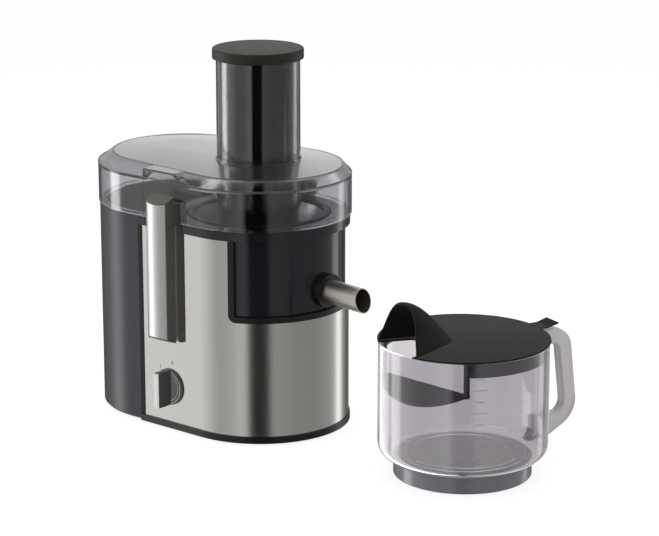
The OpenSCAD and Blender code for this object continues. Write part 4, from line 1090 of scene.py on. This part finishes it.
jugTop = dict(
    radius=86.4, under=138.3, rimTop=139.9, crown=142.4, thick=2.2, edge=0.8, domeSteps=10,
    rimInside=4, rimStep=0.25, underInside=6,
    skirtRadius=82.4, skirtThick=2, skirtBottom=123.3, skirtLap=0.5, skirtEdge=0.6,
    chord=57, chordReach=120, chordTurn=-94,
    tabTurn=70, tabWidth=22, tabReach=20, tabRise=3.2, tabInside=10, tabLow=0.3, tabHigh=1.7, tabThick=1.8,
    tabBend=6, tabTopBend=8, tabUnderRound=4, tabOverRound=6, tabEdge=0.6,
    hoodTurn=-110, hoodFace=77.1, hoodWidth=74, hoodHeight=45, hoodLong=60, hoodFall=1.7, tailShare=0.3,
    archStep=5, lastArch=58, archPinch=0.12, lean=8, tailHeight=0.6,
    hoodThick=2.2, hoodBase=140.2, hoodEdge=0.45,
    mouthDepth=30, mouthInside=3, mouthBeyond=40, mouthRound=5, cutFrom=110, cutTo=160,
    flareOut=3, flareFade=3,
)


def alongTurn(bearing, a, b, z):
    # a point out along a direction round the jug, b to its left, at height z
    turn = radians(bearing)
    return fromJug(a * cos(turn) - b * sin(turn), a * sin(turn) + b * cos(turn), z)


def cutPiece(name, outline, bearing):
    # a tall block that cuts through the lid of the jug
    low, high = jugTop["cutFrom"], jugTop["cutTo"]
    return slab(name, outline, lambda a, b: alongTurn(bearing, a, b, low), Vector((0, 0, (high - low) * mm)))


def makeMouth():
    # the opening under the hood, which narrows inwards as the hood does
    t = jugTop
    outW = t["hoodWidth"] / 2 - t["hoodThick"] - t["mouthInside"]
    inW = outW - t["mouthDepth"] * (1 - t["tailShare"]) * t["hoodWidth"] / 2 / t["hoodLong"]
    face, soft = t["hoodFace"], t["mouthRound"]
    inside, beyond = face - t["mouthDepth"], face + t["mouthBeyond"]
    outline = softLine([(inside, -inW, soft), (face, -outW, 0), (beyond, -outW, 0),
                        (beyond, outW, 0), (face, outW, 0), (inside, inW, soft)])
    return cutPiece("mouth", outline, t["hoodTurn"])


def makeTab():
    t = jugTop
    rise, reach, root = t["tabRise"], t["tabReach"], -t["tabInside"]
    side = softLine([(root, t["tabLow"], 0), (t["tabBend"], t["tabLow"], t["tabUnderRound"]),
                     (reach, rise, t["tabEdge"]), (reach, rise + t["tabThick"], t["tabEdge"]),
                     (t["tabTopBend"], t["tabHigh"], t["tabOverRound"]), (root, t["tabHigh"], 0)])
    r, half = t["radius"], t["tabWidth"] / 2
    tab = slab("tab", side, lambda a, b: alongTurn(t["tabTurn"], r + a, -half, t["under"] + b),
               alongTurn(t["tabTurn"], 0, half, 0) - alongTurn(t["tabTurn"], 0, -half, 0))
    return softenEdges(tab, t["tabEdge"], 40, 2)


def makeJugLid():
    t = jugTop
    r, fall = t["radius"], t["crown"] - t["rimTop"]
    steps = t["domeSteps"]
    dome = [Vector((r * i / steps, t["crown"] - fall * (i / steps) ** 2)) for i in range(steps)]
    outline = dome + softLine([
        (r - t["rimInside"], t["rimTop"] + t["rimStep"], 0), (r, t["rimTop"], t["edge"]),
        (r, t["under"], t["edge"] / 2), (r - t["underInside"], t["under"], 0)], False)
    outline += [Vector((p.x, p.y - t["thick"])) for p in dome[steps - 2::-1]]
    lidDisc = turned("jugLid", fromJug(0, 0, 0), outline, 128, False)
    combine(lidDisc, makeMouth(), "DIFFERENCE")
    combine(lidDisc, makeTab(), "UNION")
    smooth(lidDisc)
    place(lidDisc, bySlot["olive_black"], "olive_black", "jug_top", "jug_lid")


def makeJugSkirt():
    # a ring inside the jug, cut away along a chord under the mouth
    t = jugTop
    outer, inner = t["skirtRadius"], t["skirtRadius"] - t["skirtThick"]
    low, high = t["skirtBottom"], t["under"] + t["skirtLap"]
    skirt = turned("jugLidSkirt", fromJug(0, 0, 0), softLine([
        (inner, low, t["skirtEdge"]), (outer, low, t["skirtEdge"]), (outer, high, 0), (inner, high, 0)]), 128)
    near, wide = t["chord"], t["chordReach"]
    far = near + wide
    chord = cutPiece("chord", [(near, -wide), (far, -wide), (far, wide), (near, wide)], t["chordTurn"])
    combine(skirt, chord, "DIFFERENCE")
    smooth(skirt)
    place(skirt, skirtGrey, "olive_black", "jug_top")


def hoodLine(x, steps=28):
    # one arch of the hood, x behind its face
    t = jugTop
    share = x / t["hoodLong"]
    foot = t["hoodWidth"] / 2 * (1 - (1 - t["tailShare"]) * share)
    high = t["hoodHeight"] * (1 - share ** t["hoodFall"]) + t["tailHeight"] * share
    lean = t["lean"] * (1 - share) / t["hoodHeight"]
    line = []
    for i in range(steps + 1):
        turn = pi * i / steps
        out, rise = cos(turn), sin(turn)
        out *= 1 - t["archPinch"] * sin(pi * rise)
        flare = t["flareOut"] * share * max(0, 1 - rise * t["flareFade"]) ** 2
        a = t["hoodFace"] - x - lean * high * rise
        b = out * foot + (flare if out > 0 else -flare)
        line.append(alongTurn(t["hoodTurn"], a, b, t["hoodBase"] + high * rise))
    return line


def makeHood():
    t = jugTop
    arches = []
    for x in list(range(0, t["hoodLong"], t["archStep"])) + [t["lastArch"], t["hoodLong"]]:
        arches.append(drawLine("jugHood", hoodLine(x), False))
        closeEdit()
    piece = joinPieces(arches)
    openEdit(piece)
    bpy.ops.mesh.select_mode(type="EDGE")
    bpy.ops.mesh.select_all(action="SELECT")
    bpy.ops.mesh.bridge_edge_loops()
    closeEdit()
    tidyMesh(piece)
    change(piece, "SOLIDIFY", thickness=t["hoodThick"] * mm, offset=-1, use_even_offset=True)
    softenEdges(piece, t["hoodEdge"], 60, 2)
    smooth(piece, 50)
    place(piece, bySlot["olive_black"], "olive_black", "jug_top", "jug_hood")


levelPrint = plastic("levelPrint", rgb(150, 150, 156), rgb(160, 160, 166), 0.5, 900, 0.05)
frosted = clearPlastic("frostedHandle", rgb(214, 210, 210), rgb(206, 202, 202), 0.35, 0.55)
skirtGrey = plastic("skirtGrey", rgb(84, 87, 93), rgb(92, 95, 101), 0.35, 900, 0.05)

timed("jug", makeJugBody)
timed("jug foot", makeJugFoot)
timed("level marks", makeTicks)
timed("jug handle", makeHandle)
timed("jug lid", makeJugLid)
timed("jug lid skirt", makeJugSkirt)
timed("hood", makeHood)
for name in ("jugBody", "jugFoot", "jugHandle", "levelMarks", "jugLid", "jugLidSkirt", "jugHood"):
    hideFromGloss(bpy.data.objects[name])


# front, back, bottom and top are places in the shared frame, in mm
seam = dict(front=-161.4, back=-166.9, out=0.45, inward=0.6, bottom=8.4, top=215.6, edge=0.15)


def makeSeams():
    # dark strips that cover the joint between the steel and the pulp container
    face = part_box("steel_panel")[0].y
    strip = blockPiece(
        "nearSeam", Vector((seam["back"] * mm, face - seam["out"] * mm, seam["bottom"] * mm)),
        Vector((seam["front"] * mm, face + seam["inward"] * mm, seam["top"] * mm)))
    softenEdges(strip, seam["edge"], 40, 2)
    smooth(strip)
    for piece in (strip, mirrorCopy(strip, "farSeam")):
        place(piece, matteBlack, "black_plastic", "base")


matteBlack = plastic("matteBlack", rgb(15, 15, 15), rgb(20, 20, 20), 0.6, 1200, 0.1, Specular_IOR_Level=0.2)
separatorGrey = plastic("separatorGrey", rgb(56, 60, 67), rgb(63, 67, 74), 0.3, 900, 0.05)
timed("seams", makeSeams)

# nodes that keep their shape and get softer edges: the piece, its edge in mm and its body
softParts = dict(
    juice_spout=("juiceSpout", 0.45, "bowl"), spout_socket=("spoutSocket", 0.8, "bowl"),
    bottom_cover=("bottomCover", 0.9, "base"), window_frame=("windowFrame", 0.6, "base"),
    pulp_container=("pulpContainer", 0.8, "pulp"), collector_bowl=("collectorBowl", 0.5, "bowl"),
    foam_separator=("foamSeparator", 0.35, "jug_top"),
)
for node, (name, width, body) in softParts.items():
    material = separatorGrey if node == "foam_separator" else bySlot[slotOf[node]]
    place(softCopy(node, name, width), material, slotOf[node], body, node)
    print(name, "made")
